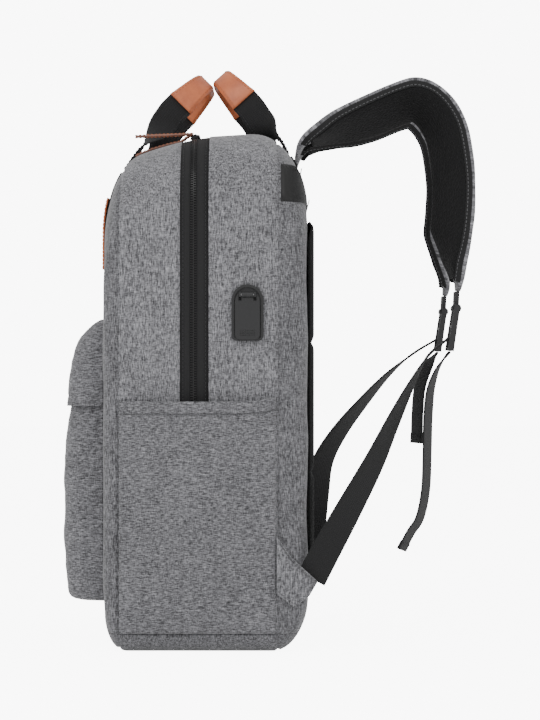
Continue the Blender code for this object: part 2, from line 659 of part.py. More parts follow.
# ---------------------------------------------------------------- inside pockets
def make_inside_pockets():
    """Laptop sleeve against the back wall and a pouch for the power bank under the port."""
    back = BACK_Y - WALL - GAP
    front = back - SLEEVE_DEPTH
    sleeve = new_object("laptop_sleeve", box((-SLEEVE_HALF_WIDTH, front, SLEEVE_BASE_Z),
                                             (SLEEVE_HALF_WIDTH, back, SLEEVE_TOP_Z)), LINING)
    boolean(sleeve, box((-SLEEVE_HALF_WIDTH + SLEEVE_WALL, front + SLEEVE_WALL, SLEEVE_BASE_Z + SLEEVE_WALL),
                        (SLEEVE_HALF_WIDTH - SLEEVE_WALL, back + 0.01, SLEEVE_TOP_Z + 0.01)), "DIFFERENCE")
    side = BAG_WIDTH / 2 - WALL - GAP
    pouch = new_object("power_bank_pocket", box((side - POUCH_DEPTH, POUCH_REAR_Y - POUCH_WIDTH, POUCH_BASE_Z),
                                                (side, POUCH_REAR_Y, POUCH_TOP_Z)), LINING)
    boolean(pouch, box((side - POUCH_DEPTH + POUCH_WALL, POUCH_REAR_Y - POUCH_WIDTH + POUCH_WALL,
                        POUCH_BASE_Z + POUCH_WALL),
                       (side + 0.01, POUCH_REAR_Y - POUCH_WALL, POUCH_TOP_Z + 0.01)), "DIFFERENCE")


# ---------------------------------------------------------------- hand loops
def make_grip(name, base_mid, lean, pivot):
    """Leather grip: a flat strip bent into an arch across the bag, its width square to the lean."""
    across = Vector((1, 0, 0)).cross(lean)
    centre_x = HANDLE_HALF_SPAN - GRIP_ARCH_R
    path = []
    for i in range(9):
        turn = math.radians(90 * i / 8)
        path.append(base_mid + Vector((centre_x + GRIP_ARCH_R * math.cos(turn), 0, 0))
                    + lean * GRIP_ARCH_R * math.sin(turn))
    path += [Vector((-point.x, point.y, point.z)) for point in path[::-1]]
    last = len(path) - 1

    def narrowed(i):
        return WEB_WIDTH - (WEB_WIDTH - GRIP_NARROW) * math.sin(math.pi * i / last) ** 0.8

    new_object(name, ribbon(path, across, narrowed, GRIP_THICK), LEATHER, pivot)


def make_legs(name, points, base_mid, lean, pivot):
    """Webbing legs: flat on the bag at the bottom and turned a quarter where they enter the grip."""
    for side, sign in (("right", 1), ("left", -1)):
        seat = base_mid + Vector((sign * HANDLE_HALF_SPAN, 0, 0))
        knots = [(sign * HANDLE_HALF_SPAN, y, z) for y, z in points] + [seat - lean * 0.010]
        path = smooth_path(knots, 3) + [seat - lean * 2 * GAP]
        last = len(path) - 1

        def turned(i):
            share = min(max((i / last - 0.25) / 0.6, 0.0), 1.0)
            angle = math.pi / 2 * share * share * (3 - 2 * share)
            along = directions(path)[i]
            flat = Vector((1, 0, 0))
            return flat * math.cos(angle) * sign + along.cross(flat) * math.sin(angle)

        new_object(name + "_" + side, ribbon(path, turned, WEB_WIDTH, WEB_THICK), WEBBING, pivot)


def make_front_handle():
    cover_pivot = (0, FRONT_Y, FOLD_Z)
    ys = [FRONT_Y + 0.0003 + 0.0127 * (i / 7) ** 1.6 for i in range(8)]
    seat = front_seat(FRONT_ANCHOR_Z, ys)
    top = GAP + WEB_THICK
    for side, sign in (("right", 1), ("left", -1)):
        x = sign * HANDLE_HALF_SPAN
        new_object("front_handle_anchor_" + side, loft(seat_strip(seat, x, WEB_WIDTH, GAP, top)), WEBBING,
                   cover_pivot)
        patch = seat_strip(seat[1:8], x, WEB_WIDTH + 0.003, top + GAP, top + GAP + LEATHER_THICK)
        new_object("front_handle_patch_" + side, loft(patch), LEATHER, cover_pivot)
    hinge = above_top(ys[-1] + 0.0022, GAP + WEB_THICK / 2)
    lean = Vector((0, 1, 1)).normalized()
    base_mid = Vector((0, FRONT_Y + 0.0626, BAG_HEIGHT + 0.0292))
    make_grip("front_handle_grip", base_mid, lean, hinge)
    lift = 0.4 * WEB_WIDTH      # a turned leg stands on its edge, clear of the bag
    rise = ((0.0260, lift - 0.0225), (0.0370, lift - 0.0100), (0.0480, lift + 0.0020))
    points = [(hinge.y, hinge.z)] + [(FRONT_Y + aft, BAG_HEIGHT + up) for aft, up in rise]
    make_legs("front_handle_leg", points, base_mid, lean, hinge)


def make_rear_handle():
    ys = [BACK_Y - 0.0148 + 0.0052 * i / 3 for i in range(4)]
    for side, sign in (("right", 1), ("left", -1)):
        seat = [(Vector((0, y, top_z(y))), top_normal(y)) for y in ys]
        strip = seat_strip(seat, sign * HANDLE_HALF_SPAN, WEB_WIDTH, GAP, GAP + WEB_THICK)
        new_object("rear_handle_anchor_" + side, loft(strip), WEBBING)
    hinge = above_top(ys[0] - 0.0022, GAP + WEB_THICK / 2)
    lean = Vector((0, -0.67, 0.74)).normalized()
    base_mid = Vector((0, BACK_Y - 0.0548, BAG_HEIGHT + 0.0325))
    make_grip("rear_handle_grip", base_mid, lean, hinge)
    lift = 0.4 * WEB_WIDTH
    rise = ((-0.0230, lift - 0.0125), (-0.0310, lift - 0.0060), (-0.0390, lift + 0.0020))
    points = [(hinge.y, hinge.z)] + [(BACK_Y + aft, BAG_HEIGHT + up) for aft, up in rise]
    make_legs("rear_handle_leg", points, base_mid, lean, hinge)


# ---------------------------------------------------------------- shoulder straps
def strap_outline():
    """Outer face of a shoulder strap from its root at the yoke to its tip, as (y, z)."""
    root = strap_hinge()
    rise = ((-0.0070, -0.0045), (0.0030, 0.0075), (0.0220, 0.0225), (0.0520, 0.0370), (0.0760, 0.0470),
            (0.0920, 0.0508), (0.1075, 0.0476), (0.1205, 0.0390), (0.1318, 0.0250), (0.1398, 0.0075),
            (0.1445, -0.0180), (0.1465, -0.0410), (0.1457, -0.0660), (0.1425, -0.0930), (0.1375, -0.1180),
            (0.1325, -0.1360))
    points = [(0, root.y - 0.0021, root.z + 0.0007)]
    points += [(0, BACK_Y + aft, BAG_HEIGHT + up) for aft, up in rise]
    return smooth_path(points, 2)


def strap_hinge():
    return above_top(STRAP_ROOT_Y, 2 * GAP + WEB_THICK + STRAP_ROOT_R)


def ease(share):
    """Smooth step from 0 to 1."""
    share = min(max(share, 0.0), 1.0)
    return share * share * (3 - 2 * share)


def strap_layer(low, high, start, stop, sign):
    """Rings of one layer of the strap between two depths below its outer face."""
    outer = strap_outline()
    rings = []
    for i, (point, along) in list(enumerate(zip(outer, directions(outer))))[start:stop]:
        t = i / (len(outer) - 1)
        swell = min(1.0, 0.52 + 3.2 * t, 0.62 + 5.0 * (1 - t))
        half = STRAP_WIDTH / 2 * min(1.0, 0.80 + 2.0 * t, 0.50 + 3.6 * (1 - t))
        roll = math.radians(STRAP_ROLL) * ease((t - 0.06) / 0.20) * ease((1 - t) / 0.16)
        flat_in = Vector((0, along.z, -along.y))
        side = Vector((sign * math.cos(roll), 0, 0)) - flat_in * math.sin(roll)
        inward = flat_in * math.cos(roll) + Vector((sign * math.sin(roll), 0, 0))
        middle = point + Vector((sign * (STRAP_ROOT_X + (STRAP_TIP_X - STRAP_ROOT_X) * t * t), 0, 0))
        middle += flat_in * half * math.sin(roll)
        edge = min(0.003, (high - low) * swell * 0.35)
        near = middle + inward * low * swell
        far = middle + inward * high * swell
        step = inward * edge
        trim = side * (half - edge)
        rings.append([near - trim, near + trim, near + step + side * half, far - step + side * half,
                      far + trim, far - trim, far - step - side * half, near + step - side * half])
    return rings


def make_strap(side, sign):
    hinge = strap_hinge()
    pivot = Vector((sign * STRAP_ROOT_X, hinge.y, hinge.z))
    count = len(strap_outline())
    shell = new_object("strap_shell_" + side, twisted_loft(strap_layer(0.0, STRAP_SHELL_THICK, 0, count, sign)), FABRIC)
    half = STRAP_WIDTH / 2 * 0.80
    roll = cylinder_x(hinge.y, hinge.z, STRAP_ROOT_R, pivot.x - half + 0.001, pivot.x + half - 0.001)
    boolean(shell, roll, "UNION")
    swing(shell, pivot)
    mesh = strap_layer(STRAP_SHELL_THICK + GAP, STRAP_THICK, 3, count - 1, sign)
    new_object("strap_mesh_" + side, twisted_loft(mesh), MESH, pivot)
    make_ladder_lock(side, sign, pivot)


def make_ladder_lock(side, sign, pivot):
    """Webbing loop at the strap's tip, the ladder lock hung in it, and the adjuster's loose tail."""
    x = sign * STRAP_TIP_X
    bar = Vector((x, LOCK_BAR[0], LOCK_BAR[1]))
    eye_r = LOCK_BAR_R + GAP
    loop = new_object("strap_loop_" + side,
                      cylinder_x(bar.y, bar.z, eye_r + WEB_THICK, x - WEB_WIDTH / 2, x + WEB_WIDTH / 2), WEBBING)
    tip = strap_outline()[-1]
    strip = ribbon([Vector((x, bar.y, bar.z + eye_r + 0.001)), Vector((x, tip.y - 0.0035, tip.z - 0.0001))],
                 (sign, 0, 0), WEB_WIDTH, 2 * WEB_THICK)
    boolean(loop, strip, "UNION")
    boolean(loop, cylinder_x(bar.y, bar.z, eye_r, x - 0.05, x + 0.05), "DIFFERENCE")
    swing(loop, pivot)
    lean = Vector((0, -0.16, -1)).normalized()
    out = Vector((0, 1, -0.16)).normalized()
    half = LOCK_WIDTH / 2
    frame = new_object("ladder_lock_" + side, cylinder_x(bar.y, bar.z, LOCK_BAR_R, x - half, x + half), PLASTIC)
    for inner in (-half, half - LOCK_RAIL):
        corners = [bar - lean * 0.0028 - out * 0.0024, bar + lean * LOCK_LENGTH - out * 0.0024,
                   bar + lean * LOCK_LENGTH + out * 0.0030, bar - lean * 0.0028 + out * 0.0024]
        boolean(frame, prism([(c.y, c.z) for c in corners], x + inner, x + inner + LOCK_RAIL), "UNION")
    for down, thick, lift in ((0.016, 0.0040, 0.0), (0.026, 0.0032, 0.0008), (LOCK_LENGTH - 0.002, 0.0040, 0.0006)):
        mid = bar + lean * down + out * lift
        boolean(frame, cylinder_x(mid.y, mid.z, thick / 2, x - half + 0.001, x + half - 0.001), "UNION")
    swing(frame, bar)
    fall = [(-0.0055, -0.0375), (-0.0110, -0.0445), (-0.0170, -0.0550), (-0.0220, -0.0715), (-0.0240, -0.0945),
            (-0.0247, -0.1215), (-0.0260, -0.1555), (-0.0310, -0.1805), (-0.0390, -0.1935), (-0.0470, -0.2085)]
    path = smooth_path([bar + Vector((0, aft, up)) for aft, up in fall[:TAIL_POINTS[side]]], 2)
    last = len(path) - 1
    ways = directions(path)

    def turned(i):
        angle = math.radians(TAIL_TURN) * ease(i / last / 0.4)
        return Vector((sign * math.cos(angle), 0, 0)) + ways[i].cross(Vector((1, 0, 0))) * math.sin(angle)

    new_object("webbing_tail_" + side, ribbon(path, turned, WEB_WIDTH, WEB_THICK), WEBBING, path[0])


def make_strap_tab(side, sign):
    """Fabric triangle sewn over the rear lower edge of the side, with the webbing's end in its tip."""
    seat_x = LOWER_SEAT_X + WEB_THICK / 2 + GAP
    outer = []
    inner = []
    for aft, z in ((-0.0265, 0.0980), (-0.0140, 0.0800), (0.0080, 0.0600), (0.0010, 0.0480), (-0.0120, 0.0385),
                   (-0.0265, 0.0500)):
        y = BACK_Y + aft
        near = max(half_width(min(y, BACK_Y)) + TAB_LIFT, seat_x)
        outer.append((sign * (near + TAB_THICK), y, z))
        inner.append((sign * near, y, z))
    new_object("strap_tab_" + side, loft([inner, outer]), FABRIC)


def make_lower_webbing(side, sign):
    """Webbing from the tab's tip up to the ladder lock, its face turned to the side."""
    start = Vector((LOWER_SEAT_X, BACK_Y - 0.0100 + WEB_WIDTH / 2, 0.0620))
    span = Vector((STRAP_TIP_X, LOCK_BAR[0] - 0.0063, LOCK_BAR[1] - 0.0255)) - start
    shares = {"right": ((0.0, 0.0, 0.0), (0.018, 0.088, 0.099), (0.179, 0.263, 0.282), (0.428, 0.447, 0.475),
                        (0.677, 0.589, 0.644), (0.868, 0.727, 0.802), (0.978, 0.848, 0.921), (1.0, 1.0, 1.0)),
              "left": ((0.0, 0.0, 0.0), (0.010, 0.050, 0.120), (0.080, 0.085, 0.280), (0.240, 0.130, 0.430),
                       (0.460, 0.250, 0.565), (0.680, 0.430, 0.705), (0.860, 0.630, 0.840), (0.970, 0.820, 0.935),
                       (1.0, 1.0, 1.0))}[side]
    points = [(start.x + span.x * a, start.y + span.y * b, start.z + span.z * c) for a, b, c in shares]
    path = smooth_path([(sign * x, y, z) for x, y, z in points], 3)
    last = len(path) - 1

    def turned(i):
        angle = math.pi / 2 * min(max((i / last - 0.06) / 0.80, 0.0), 1.0)
        along = directions(path)[i]
        flat = Vector((sign, 0, 0))
        return flat.cross(along) * math.cos(angle) + flat * math.sin(angle)

    new_object("webbing_lower_" + side, ribbon(path, turned, WEB_WIDTH, WEB_THICK), WEBBING)


def cylinder_y(x, z, radius, low_y, high_y, sides=16):
    turns = [2 * math.pi * i / sides for i in range(sides)]
    ring = [(x + radius * math.cos(t), z + radius * math.sin(t)) for t in turns]
    return loft([[(px, y, pz) for px, pz in ring] for y in (low_y, high_y)])


# ---------------------------------------------------------------- build
def corner_slide_pivot():
    """Centre of the top right corner, about which the right slider travels."""
    return (BAG_WIDTH / 2 - CORNER_TOP_R, TEETH_Y, top_z(TEETH_Y) - CORNER_TOP_R)


clear_scene()
FABRIC = finish("grey heather fabric", (0.22, 0.22, 0.23), 0.85)
MESH = finish("black spacer mesh", (0.02, 0.02, 0.022), 0.9)
WEBBING = finish("black webbing", (0.012, 0.012, 0.014), 0.6)
LEATHER = finish("tan leather", (0.60, 0.13, 0.03), 0.45)
PULL_LEATHER = finish("brown leather", (0.30, 0.08, 0.03), 0.5)
COATED = finish("black coated fabric", (0.012, 0.012, 0.011), 0.4)
TAPE = finish("zip tape", (0.014, 0.014, 0.016), 0.8)
COIL = finish("zip coil", (0.008, 0.008, 0.009), 0.35)
BLACK_METAL = finish("black metal", (0.02, 0.02, 0.02), 0.35, 0.8)
PLASTIC = finish("black plastic", (0.02, 0.02, 0.022), 0.45)
STEEL = finish("plated steel", (0.6, 0.6, 0.6), 0.3, 1.0)
LINING = finish("grey lining", (0.12, 0.12, 0.13), 0.8)

make_shell()
make_back_pad()
make_yoke()
make_zip()
make_slider("right", SLIDER_RIGHT_X, corner_slide_pivot())
make_slider("left", SLIDER_LEFT_X, (SLIDER_LEFT_X, TEETH_Y, top_z(TEETH_Y)))
make_pull("right", SLIDER_RIGHT_X, False)
make_pull("left", SLIDER_LEFT_X, True)
make_front_pocket()
make_pocket_lid()
make_pocket_tab()
make_usb_port()
make_inside_pockets()
make_front_handle()
make_rear_handle()
for which, way in (("right", 1), ("left", -1)):
    make_side_pocket(which, way)
    make_strap(which, way)
    make_strap_tab(which, way)
    make_lower_webbing(which, way)
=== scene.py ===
import json
import math

import bmesh
import bpy
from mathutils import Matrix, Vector, noise


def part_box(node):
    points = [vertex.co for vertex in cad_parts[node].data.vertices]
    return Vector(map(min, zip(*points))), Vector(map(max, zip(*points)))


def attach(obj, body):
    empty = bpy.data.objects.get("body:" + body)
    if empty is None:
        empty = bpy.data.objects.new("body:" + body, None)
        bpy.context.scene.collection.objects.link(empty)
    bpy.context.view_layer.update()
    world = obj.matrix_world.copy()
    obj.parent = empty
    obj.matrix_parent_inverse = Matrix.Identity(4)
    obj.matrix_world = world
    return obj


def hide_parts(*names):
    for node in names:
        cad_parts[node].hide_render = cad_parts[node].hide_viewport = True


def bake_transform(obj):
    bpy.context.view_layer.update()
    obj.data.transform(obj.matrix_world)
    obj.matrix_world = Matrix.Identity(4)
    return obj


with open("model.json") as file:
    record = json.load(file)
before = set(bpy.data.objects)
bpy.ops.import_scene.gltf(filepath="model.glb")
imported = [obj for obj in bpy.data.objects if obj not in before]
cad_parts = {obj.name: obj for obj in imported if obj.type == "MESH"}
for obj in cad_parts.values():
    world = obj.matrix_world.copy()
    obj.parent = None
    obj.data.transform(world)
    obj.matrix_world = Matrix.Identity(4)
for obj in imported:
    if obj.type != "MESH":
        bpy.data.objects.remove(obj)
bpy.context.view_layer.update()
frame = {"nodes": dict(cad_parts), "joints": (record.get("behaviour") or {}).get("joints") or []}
JOINTS = {joint["name"]: joint for joint in frame["joints"]}
SIDES = (("right", 1), ("left", -1))


# ---------------------------------------------------------------- camera, floor and light
# The bag stands on a plain white floor that runs into the white surround. A long lens looks
# square at its right side, with one large soft light high on the viewer's left.
CAMERA_X = 2.22
CAMERA_Y = 0.0600
CAMERA_Z = 0.2450
LENS = 124.0
SURROUND_LIGHT = 0.86
SURROUND_WHITE = 9.0
FLOOR_WHITE = 8.0

camera_data = bpy.data.cameras.new("camera")
camera_data.lens = LENS
camera_data.sensor_width = 36.0
camera = bpy.data.objects.new("camera", camera_data)
camera.location = (CAMERA_X, CAMERA_Y, CAMERA_Z)
camera.rotation_euler = (math.pi / 2, 0, math.pi / 2)
bpy.context.scene.collection.objects.link(camera)
bpy.context.scene.camera = camera

bpy.ops.object.select_all(action="DESELECT")
bpy.ops.mesh.primitive_plane_add(size=14, location=(0, 0, 0))
floor = bpy.context.object
floor.name = "floor"
floor_paint = bpy.data.materials.new("white floor")
floor_paint.use_nodes = True
floor_shader = floor_paint.node_tree.nodes["Principled BSDF"]
floor_shader.inputs["Base Color"].default_value = (0.93, 0.93, 0.93, 1)
floor_shader.inputs["Roughness"].default_value = 0.9
floor_shader.inputs["Emission Color"].default_value = (1, 1, 1, 1)
floor_seen = floor_paint.node_tree.nodes.new("ShaderNodeLightPath").outputs["Is Camera Ray"]
floor_glow = floor_paint.node_tree.nodes.new("ShaderNodeMapRange")
floor_glow.inputs["To Min"].default_value = 0.2
floor_glow.inputs["To Max"].default_value = FLOOR_WHITE
floor_paint.node_tree.links.new(floor_seen, floor_glow.inputs["Value"])
floor_paint.node_tree.links.new(floor_glow.outputs["Result"], floor_shader.inputs["Emission Strength"])
floor.data.materials.append(floor_paint)

world = bpy.data.worlds.new("surround")
world.use_nodes = True
world.node_tree.nodes["Background"].inputs["Color"].default_value = (1, 1, 1, 1)
paper = world.node_tree.nodes["Background"]
looked_at = world.node_tree.nodes.new("ShaderNodeLightPath").outputs["Is Camera Ray"]
brightness = world.node_tree.nodes.new("ShaderNodeMapRange")
brightness.inputs["To Min"].default_value = SURROUND_LIGHT
brightness.inputs["To Max"].default_value = SURROUND_WHITE
world.node_tree.links.new(looked_at, brightness.inputs["Value"])
world.node_tree.links.new(brightness.outputs["Result"], paper.inputs["Strength"])
bpy.context.scene.world = world


def soft_light(name, place, aim, size, power):
    lamp = bpy.data.lights.new(name, "AREA")
    lamp.size = size
    lamp.energy = power
    holder = bpy.data.objects.new(name, lamp)
    holder.location = place
    holder.rotation_euler = (Vector(aim) - Vector(place)).to_track_quat("-Z", "Y").to_euler()
    bpy.context.scene.collection.objects.link(holder)


soft_light("key_light", (1.6, -0.5, 1.6), (0, 0, 0.25), 1.0, 15)
soft_light("back_light", (-0.6, 1.5, 1.3), (0, 0.1, 0.25), 1.2, 3)


# ---------------------------------------------------------------- the bag's fabric
# Heather polyester: light and dark yarns mixed, so that fine streaks run along the warp and
# shorter ones across it. The pile is matt, with a little sheen at grazing angles.
def shader_of(material):
    return material.node_tree.nodes["Principled BSDF"]


def new_material(name, roughness, metallic=0.0):
    made = bpy.data.materials.new(name)
    made.use_nodes = True
    shader_of(made).inputs["Roughness"].default_value = roughness
    shader_of(made).inputs["Metallic"].default_value = metallic
    return made


def add_node(material, kind, **settings):
    node = material.node_tree.nodes.new(kind)
    for key, value in settings.items():
        if isinstance(key, str) and hasattr(node, key):
            setattr(node, key, value)
        else:
            node.inputs[key.replace("_", " ")].default_value = value
    return node


def streaks(material, source, scale, detail=3.0):
    """Noise on coordinates stretched by a scale in repeats for each metre."""
    links = material.node_tree.links
    stretch = add_node(material, "ShaderNodeMapping")
    stretch.inputs["Scale"].default_value = scale
    links.new(source, stretch.inputs["Vector"])
    grain = add_node(material, "ShaderNodeTexNoise", Scale=1.0, Detail=detail, Roughness=0.6)
    links.new(stretch.outputs["Vector"], grain.inputs["Vector"])
    return grain.outputs["Fac"]


def maths(material, operation, first, second):
    node = add_node(material, "ShaderNodeMath", operation=operation)
    for socket, value in zip(node.inputs, (first, second)):
        if isinstance(value, (int, float)):
            socket.default_value = value
        else:
            material.node_tree.links.new(value, socket)
    return node.outputs[0]


def ramp(material, source, stops):
    node = add_node(material, "ShaderNodeValToRGB")
    band = node.color_ramp
    while len(band.elements) < len(stops):
        band.elements.new(0.5)
    for element, (place, colour) in zip(band.elements, stops):
        element.position = place
        element.color = (*colour, 1)
    material.node_tree.links.new(source, node.inputs["Fac"])
    return node.outputs["Color"]


def bump(material, height, strength, distance):
    node = add_node(material, "ShaderNodeBump", Strength=strength, Distance=distance)
    material.node_tree.links.new(height, node.inputs["Height"])
    material.node_tree.links.new(node.outputs["Normal"], shader_of(material).inputs["Normal"])


def object_coordinates(material):
    return add_node(material, "ShaderNodeTexCoord").outputs["Object"]


def grey(level):
    return (level * 0.985, level * 0.98, level * 1.04)


CREASE = (170, 170, 760)


def heather(name, warp, weft, shade=1.0, along_piece=False):
    """warp and weft are stretches in repeats for each metre, the first one the stronger."""
    made = new_material(name, 0.88)
    place = object_coordinates(made)
    if along_piece:
        place = add_node(made, "ShaderNodeUVMap", uv_map="weave").outputs["UV"]
    long_yarns = streaks(made, place, warp, 4.0)
    cross_yarns = streaks(made, place, weft, 4.0)
    patches = streaks(made, place, (38, 38, 24), 2.0)
    # Fine horizontal creases: painted light and shade in the colour, and real relief in the bump.
    crease_shade = streaks(made, place, CREASE, 5.0)
    mixed = maths(made, "ADD", maths(made, "MULTIPLY", long_yarns, 0.50),
                  maths(made, "MULTIPLY", cross_yarns, 0.28))
    mixed = maths(made, "ADD", mixed, maths(made, "MULTIPLY", patches, 0.05))
    mixed = maths(made, "ADD", mixed, maths(made, "MULTIPLY", crease_shade, 0.17))
    colour = ramp(made, mixed, [(0.36, grey(0.020 * shade)), (0.44, grey(0.085 * shade)),
                                (0.50, grey(0.180 * shade)), (0.56, grey(0.290 * shade)),
                                (0.66, grey(0.520 * shade))])
    made.node_tree.links.new(colour, shader_of(made).inputs["Base Color"])
    shader_of(made).inputs["Sheen Weight"].default_value = 0.25
    shader_of(made).inputs["Sheen Roughness"].default_value = 0.5
    shader_of(made).inputs["Specular IOR Level"].default_value = 0.25
    bump(made, mixed, 0.55, 0.0006)
    return made


UPRIGHT_HEATHER = heather("heather fabric", (1150, 1150, 210), (360, 360, 1300))
ACROSS_HEATHER = heather("heather fabric across", (250, 250, 1400), (1100, 1100, 380), 0.82)
# A darker copy of the same heather for the front and back bands beyond the seams and for the base: painted
# shade where those faces turn away from the light.
SHADED_BAND_HEATHER = heather("heather fabric edge band painted shade", (1150, 1150, 210), (360, 360, 1300), 0.74)


def lining_cloth():
    made = new_material("grey lining", 0.7)
    weave = streaks(made, object_coordinates(made), (1600, 1600, 1600), 2.0)
    tint = ramp(made, weave, [(0.35, grey(0.075)), (0.65, grey(0.125))])
    made.node_tree.links.new(tint, shader_of(made).inputs["Base Color"])
    bump(made, weave, 0.3, 0.0002)
    return made


LINING = lining_cloth()


# ---------------------------------------------------------------- the bag's shell
# Two tubs of padded fabric, front and rear, meet at the zip. Each is a front or back panel and
# a gusset, sewn together with the seam allowance turned in, so the seams lie in a shallow groove.
FRONT_Y = -0.081
BACK_Y = 0.092
HALF_WIDTH = 0.150
HEIGHT = 0.440
TOP_ROUND = 0.060
BASE_ROUND = 0.020
FRONT_EDGE = 0.014
BACK_EDGE = (0.025, 0.020)
FRONT_SEAM_Y = -0.0665
REAR_SEAM_Y = 0.0665
SEAM_DEPTH = 0.0015
ZIP_END_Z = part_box("zipper_tape_rear")[0].z
ZIP_FRONT_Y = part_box("front_cover")[1].y
ZIP_REAR_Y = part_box("rear_shell")[0].y
BASE_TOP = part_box("base_panel")[1].z
SKIN = 0.0022
HANDLE_HALF_SPAN = (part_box("front_handle_anchor_right")[0].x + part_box("front_handle_anchor_right")[1].x) / 2
PORT_LOW, PORT_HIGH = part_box("usb_housing")
PORT_MID = (PORT_LOW + PORT_HIGH) / 2


def corner_drop(y, start, depth, drop, fullness, sign):
    share = min(max(sign * (y - start) / depth, 0.0), 1.0)
    return drop * (1 - (1 - share ** fullness) ** (1 / fullness))


def top_z(y):
    crown = 0.0155 * ((0.050 - y) / 0.095) ** 2
    front = corner_drop(y, FRONT_Y + 0.034, 0.034, 0.0605, 2.4, -1)
    return HEIGHT - crown - front - corner_drop(y, BACK_Y - 0.046, 0.046, 0.065, 2.0, 1)


def base_z(y):
    front = corner_drop(y, FRONT_Y + 0.021, 0.021, 0.035, 2.0, -1)
    return front + corner_drop(y, BACK_Y - 0.030, 0.030, 0.045, 2.0, 1)


def half_width(y):
    front = corner_drop(y, FRONT_Y + FRONT_EDGE, FRONT_EDGE, FRONT_EDGE, 2.0, -1)
    return HALF_WIDTH - front - corner_drop(y, BACK_Y - BACK_EDGE[0], BACK_EDGE[0], BACK_EDGE[1], 2.0, 1)


def outline(y, inset=0.0, sides=72, rounds=18):
    """Ring of the bag at y, seen from the front, with its points evenly spread along each stretch."""
    half = half_width(y) - inset
    low = base_z(y) + inset
    high = top_z(y) - inset
    top_r = TOP_ROUND - inset
    base_r = BASE_ROUND - inset
    arcs = [(half - top_r, high - top_r, top_r, 0), (-half + top_r, high - top_r, top_r, 90),
            (-half + base_r, low + base_r, base_r, 180), (half - base_r, low + base_r, base_r, 270)]
    straight = (40, sides, 40, sides)
    ring = []
    for (cx, cz, radius, start), count, after in zip(arcs, straight, arcs[1:] + arcs[:1]):
        for i in range(rounds):
            turn = math.radians(start + 90 * i / rounds)
            ring.append(Vector((cx + radius * math.cos(turn), y, cz + radius * math.sin(turn))))
        turn = math.radians(start + 90)
        leave = Vector((cx + radius * math.cos(turn), y, cz + radius * math.sin(turn)))
        reach = Vector((after[0] + after[2] * math.cos(turn), y, after[1] + after[2] * math.sin(turn)))
        ring += [leave.lerp(reach, i / count) for i in range(count)]
    return ring


def station_rows():
    """Depths of the shell's rings, close together at the rounded edges and on each side of a seam."""
    rows = [FRONT_Y + 0.034 * (1 - math.cos(math.radians(t))) for t in range(0, 86, 6)]
    rows += [-0.047 + 0.0045 * i for i in range(7)]
    rows += [-0.0153, -0.0100, -0.0040, 0.0020, 0.0087]
    rows += [0.0135 + 0.0048 * i for i in range(7)]
    rows += [BACK_Y - 0.046 * (1 - math.cos(math.radians(t))) for t in range(90, -1, -6)]
    for seam in (FRONT_SEAM_Y, REAR_SEAM_Y):
        rows = [y for y in rows if abs(y - seam) > 0.0027]
        rows += [seam + step for step in (-0.0025, -0.0012, 0.0, 0.0012, 0.0025)]
    return sorted(rows)


def groove(distance, depth, reach=0.0025):
    """Depth of a seam's groove at a distance from its middle."""
    share = min(abs(distance) / reach, 1.0)
    return depth * (1 - share) ** 1.4


def slack(point, strength=1.0):
    """Small unevenness of soft fabric: long waves, short creases and puckers beside the seams."""
    wave = noise.noise(point * 14.0) * 0.0016 + noise.noise(point * 38.0 + Vector((7, 3, 1))) * 0.0007
    seam_near = min(abs(point.y - FRONT_SEAM_Y), abs(point.y - REAR_SEAM_Y))
    pucker = max(1 - seam_near / 0.012, 0.0) * noise.noise(Vector((point.x * 60, 3, point.z * 95))) * 0.0009
    return (wave + pucker) * strength


def new_piece(name, bm, material, smooth=True):
    mesh = bpy.data.meshes.new(name)
    bm.to_mesh(mesh)
    bm.free()
    if smooth:
        mesh.shade_smooth()
    mesh.materials.append(material)
    piece = bpy.data.objects.new(name, mesh)
    bpy.context.scene.collection.objects.link(piece)
    return piece


def weave_faces(bm, rows, closed=False):
    """Quads between rows of points, each row a ring if closed."""
    lattice = [[bm.verts.new(point) for point in row] for row in rows]
    count = len(rows[0])
    for low, high in zip(lattice, lattice[1:]):
        for i in range(count if closed else count - 1):
            j = (i + 1) % count
            bm.faces.new((low[i], low[j], high[j], high[i]))
    return lattice


def shell_mesh():
    """The whole skin of the bag, its front and back crowned a little."""
    rows = []
    middle_z = HEIGHT / 2
    rings = station_rows()
    for cap_y, sign, shares in ((FRONT_Y, -1, (0.02, 0.2, 0.4, 0.6, 0.75, 0.86, 0.94)),
                                (BACK_Y, 1, (0.94, 0.86, 0.75, 0.6, 0.4, 0.2, 0.02))):
        cap = []
        for share in shares:
            ring = outline(cap_y)
            centre = Vector((0, cap_y, middle_z))
            swell = sign * 0.0022 * (1 - share ** 3)
            cap.append([centre.lerp(p, share) + Vector((0, swell, 0)) for p in ring])
        rows.append(cap)
    body = []
    for y in rings:
        seam = groove(y - FRONT_SEAM_Y, SEAM_DEPTH) + groove(y - REAR_SEAM_Y, SEAM_DEPTH)
        body.append(outline(y, seam))
    bm = bmesh.new()
    lattice = weave_faces(bm, rows[0] + body + rows[1], True)
    bm.faces.new(lattice[0])
    bm.faces.new(lattice[-1])
    bmesh.ops.recalc_face_normals(bm, faces=bm.faces)
    bm.normal_update()
    for vert in bm.verts:
        calm = min(max((vert.co.z - 0.004) / 0.03, 0.0), 1.0)
        if abs(vert.co.y) > 0.052 and vert.co.z > 0.29:
            calm *= min(max((abs(abs(vert.co.x) - HANDLE_HALF_SPAN) - 0.016) / 0.015, 0.12), 1.0)
        edge = min(abs(vert.co.y - ZIP_FRONT_Y), abs(vert.co.y - ZIP_REAR_Y)) / 0.02
        calm *= 0.35 + 0.65 * min(edge, 1.0)
        beside_port = math.hypot((vert.co.y - PORT_MID.y) / 0.0175, (vert.co.z - PORT_MID.z) / 0.0270)
        ruck = max(1 - abs(beside_port - 1.0) / 0.30, 0.0) * 0.0006 if vert.co.x > 0.13 else 0.0
        vert.co += vert.normal * (slack(vert.co) * calm - 0.0006 * calm + ruck)
    return bm


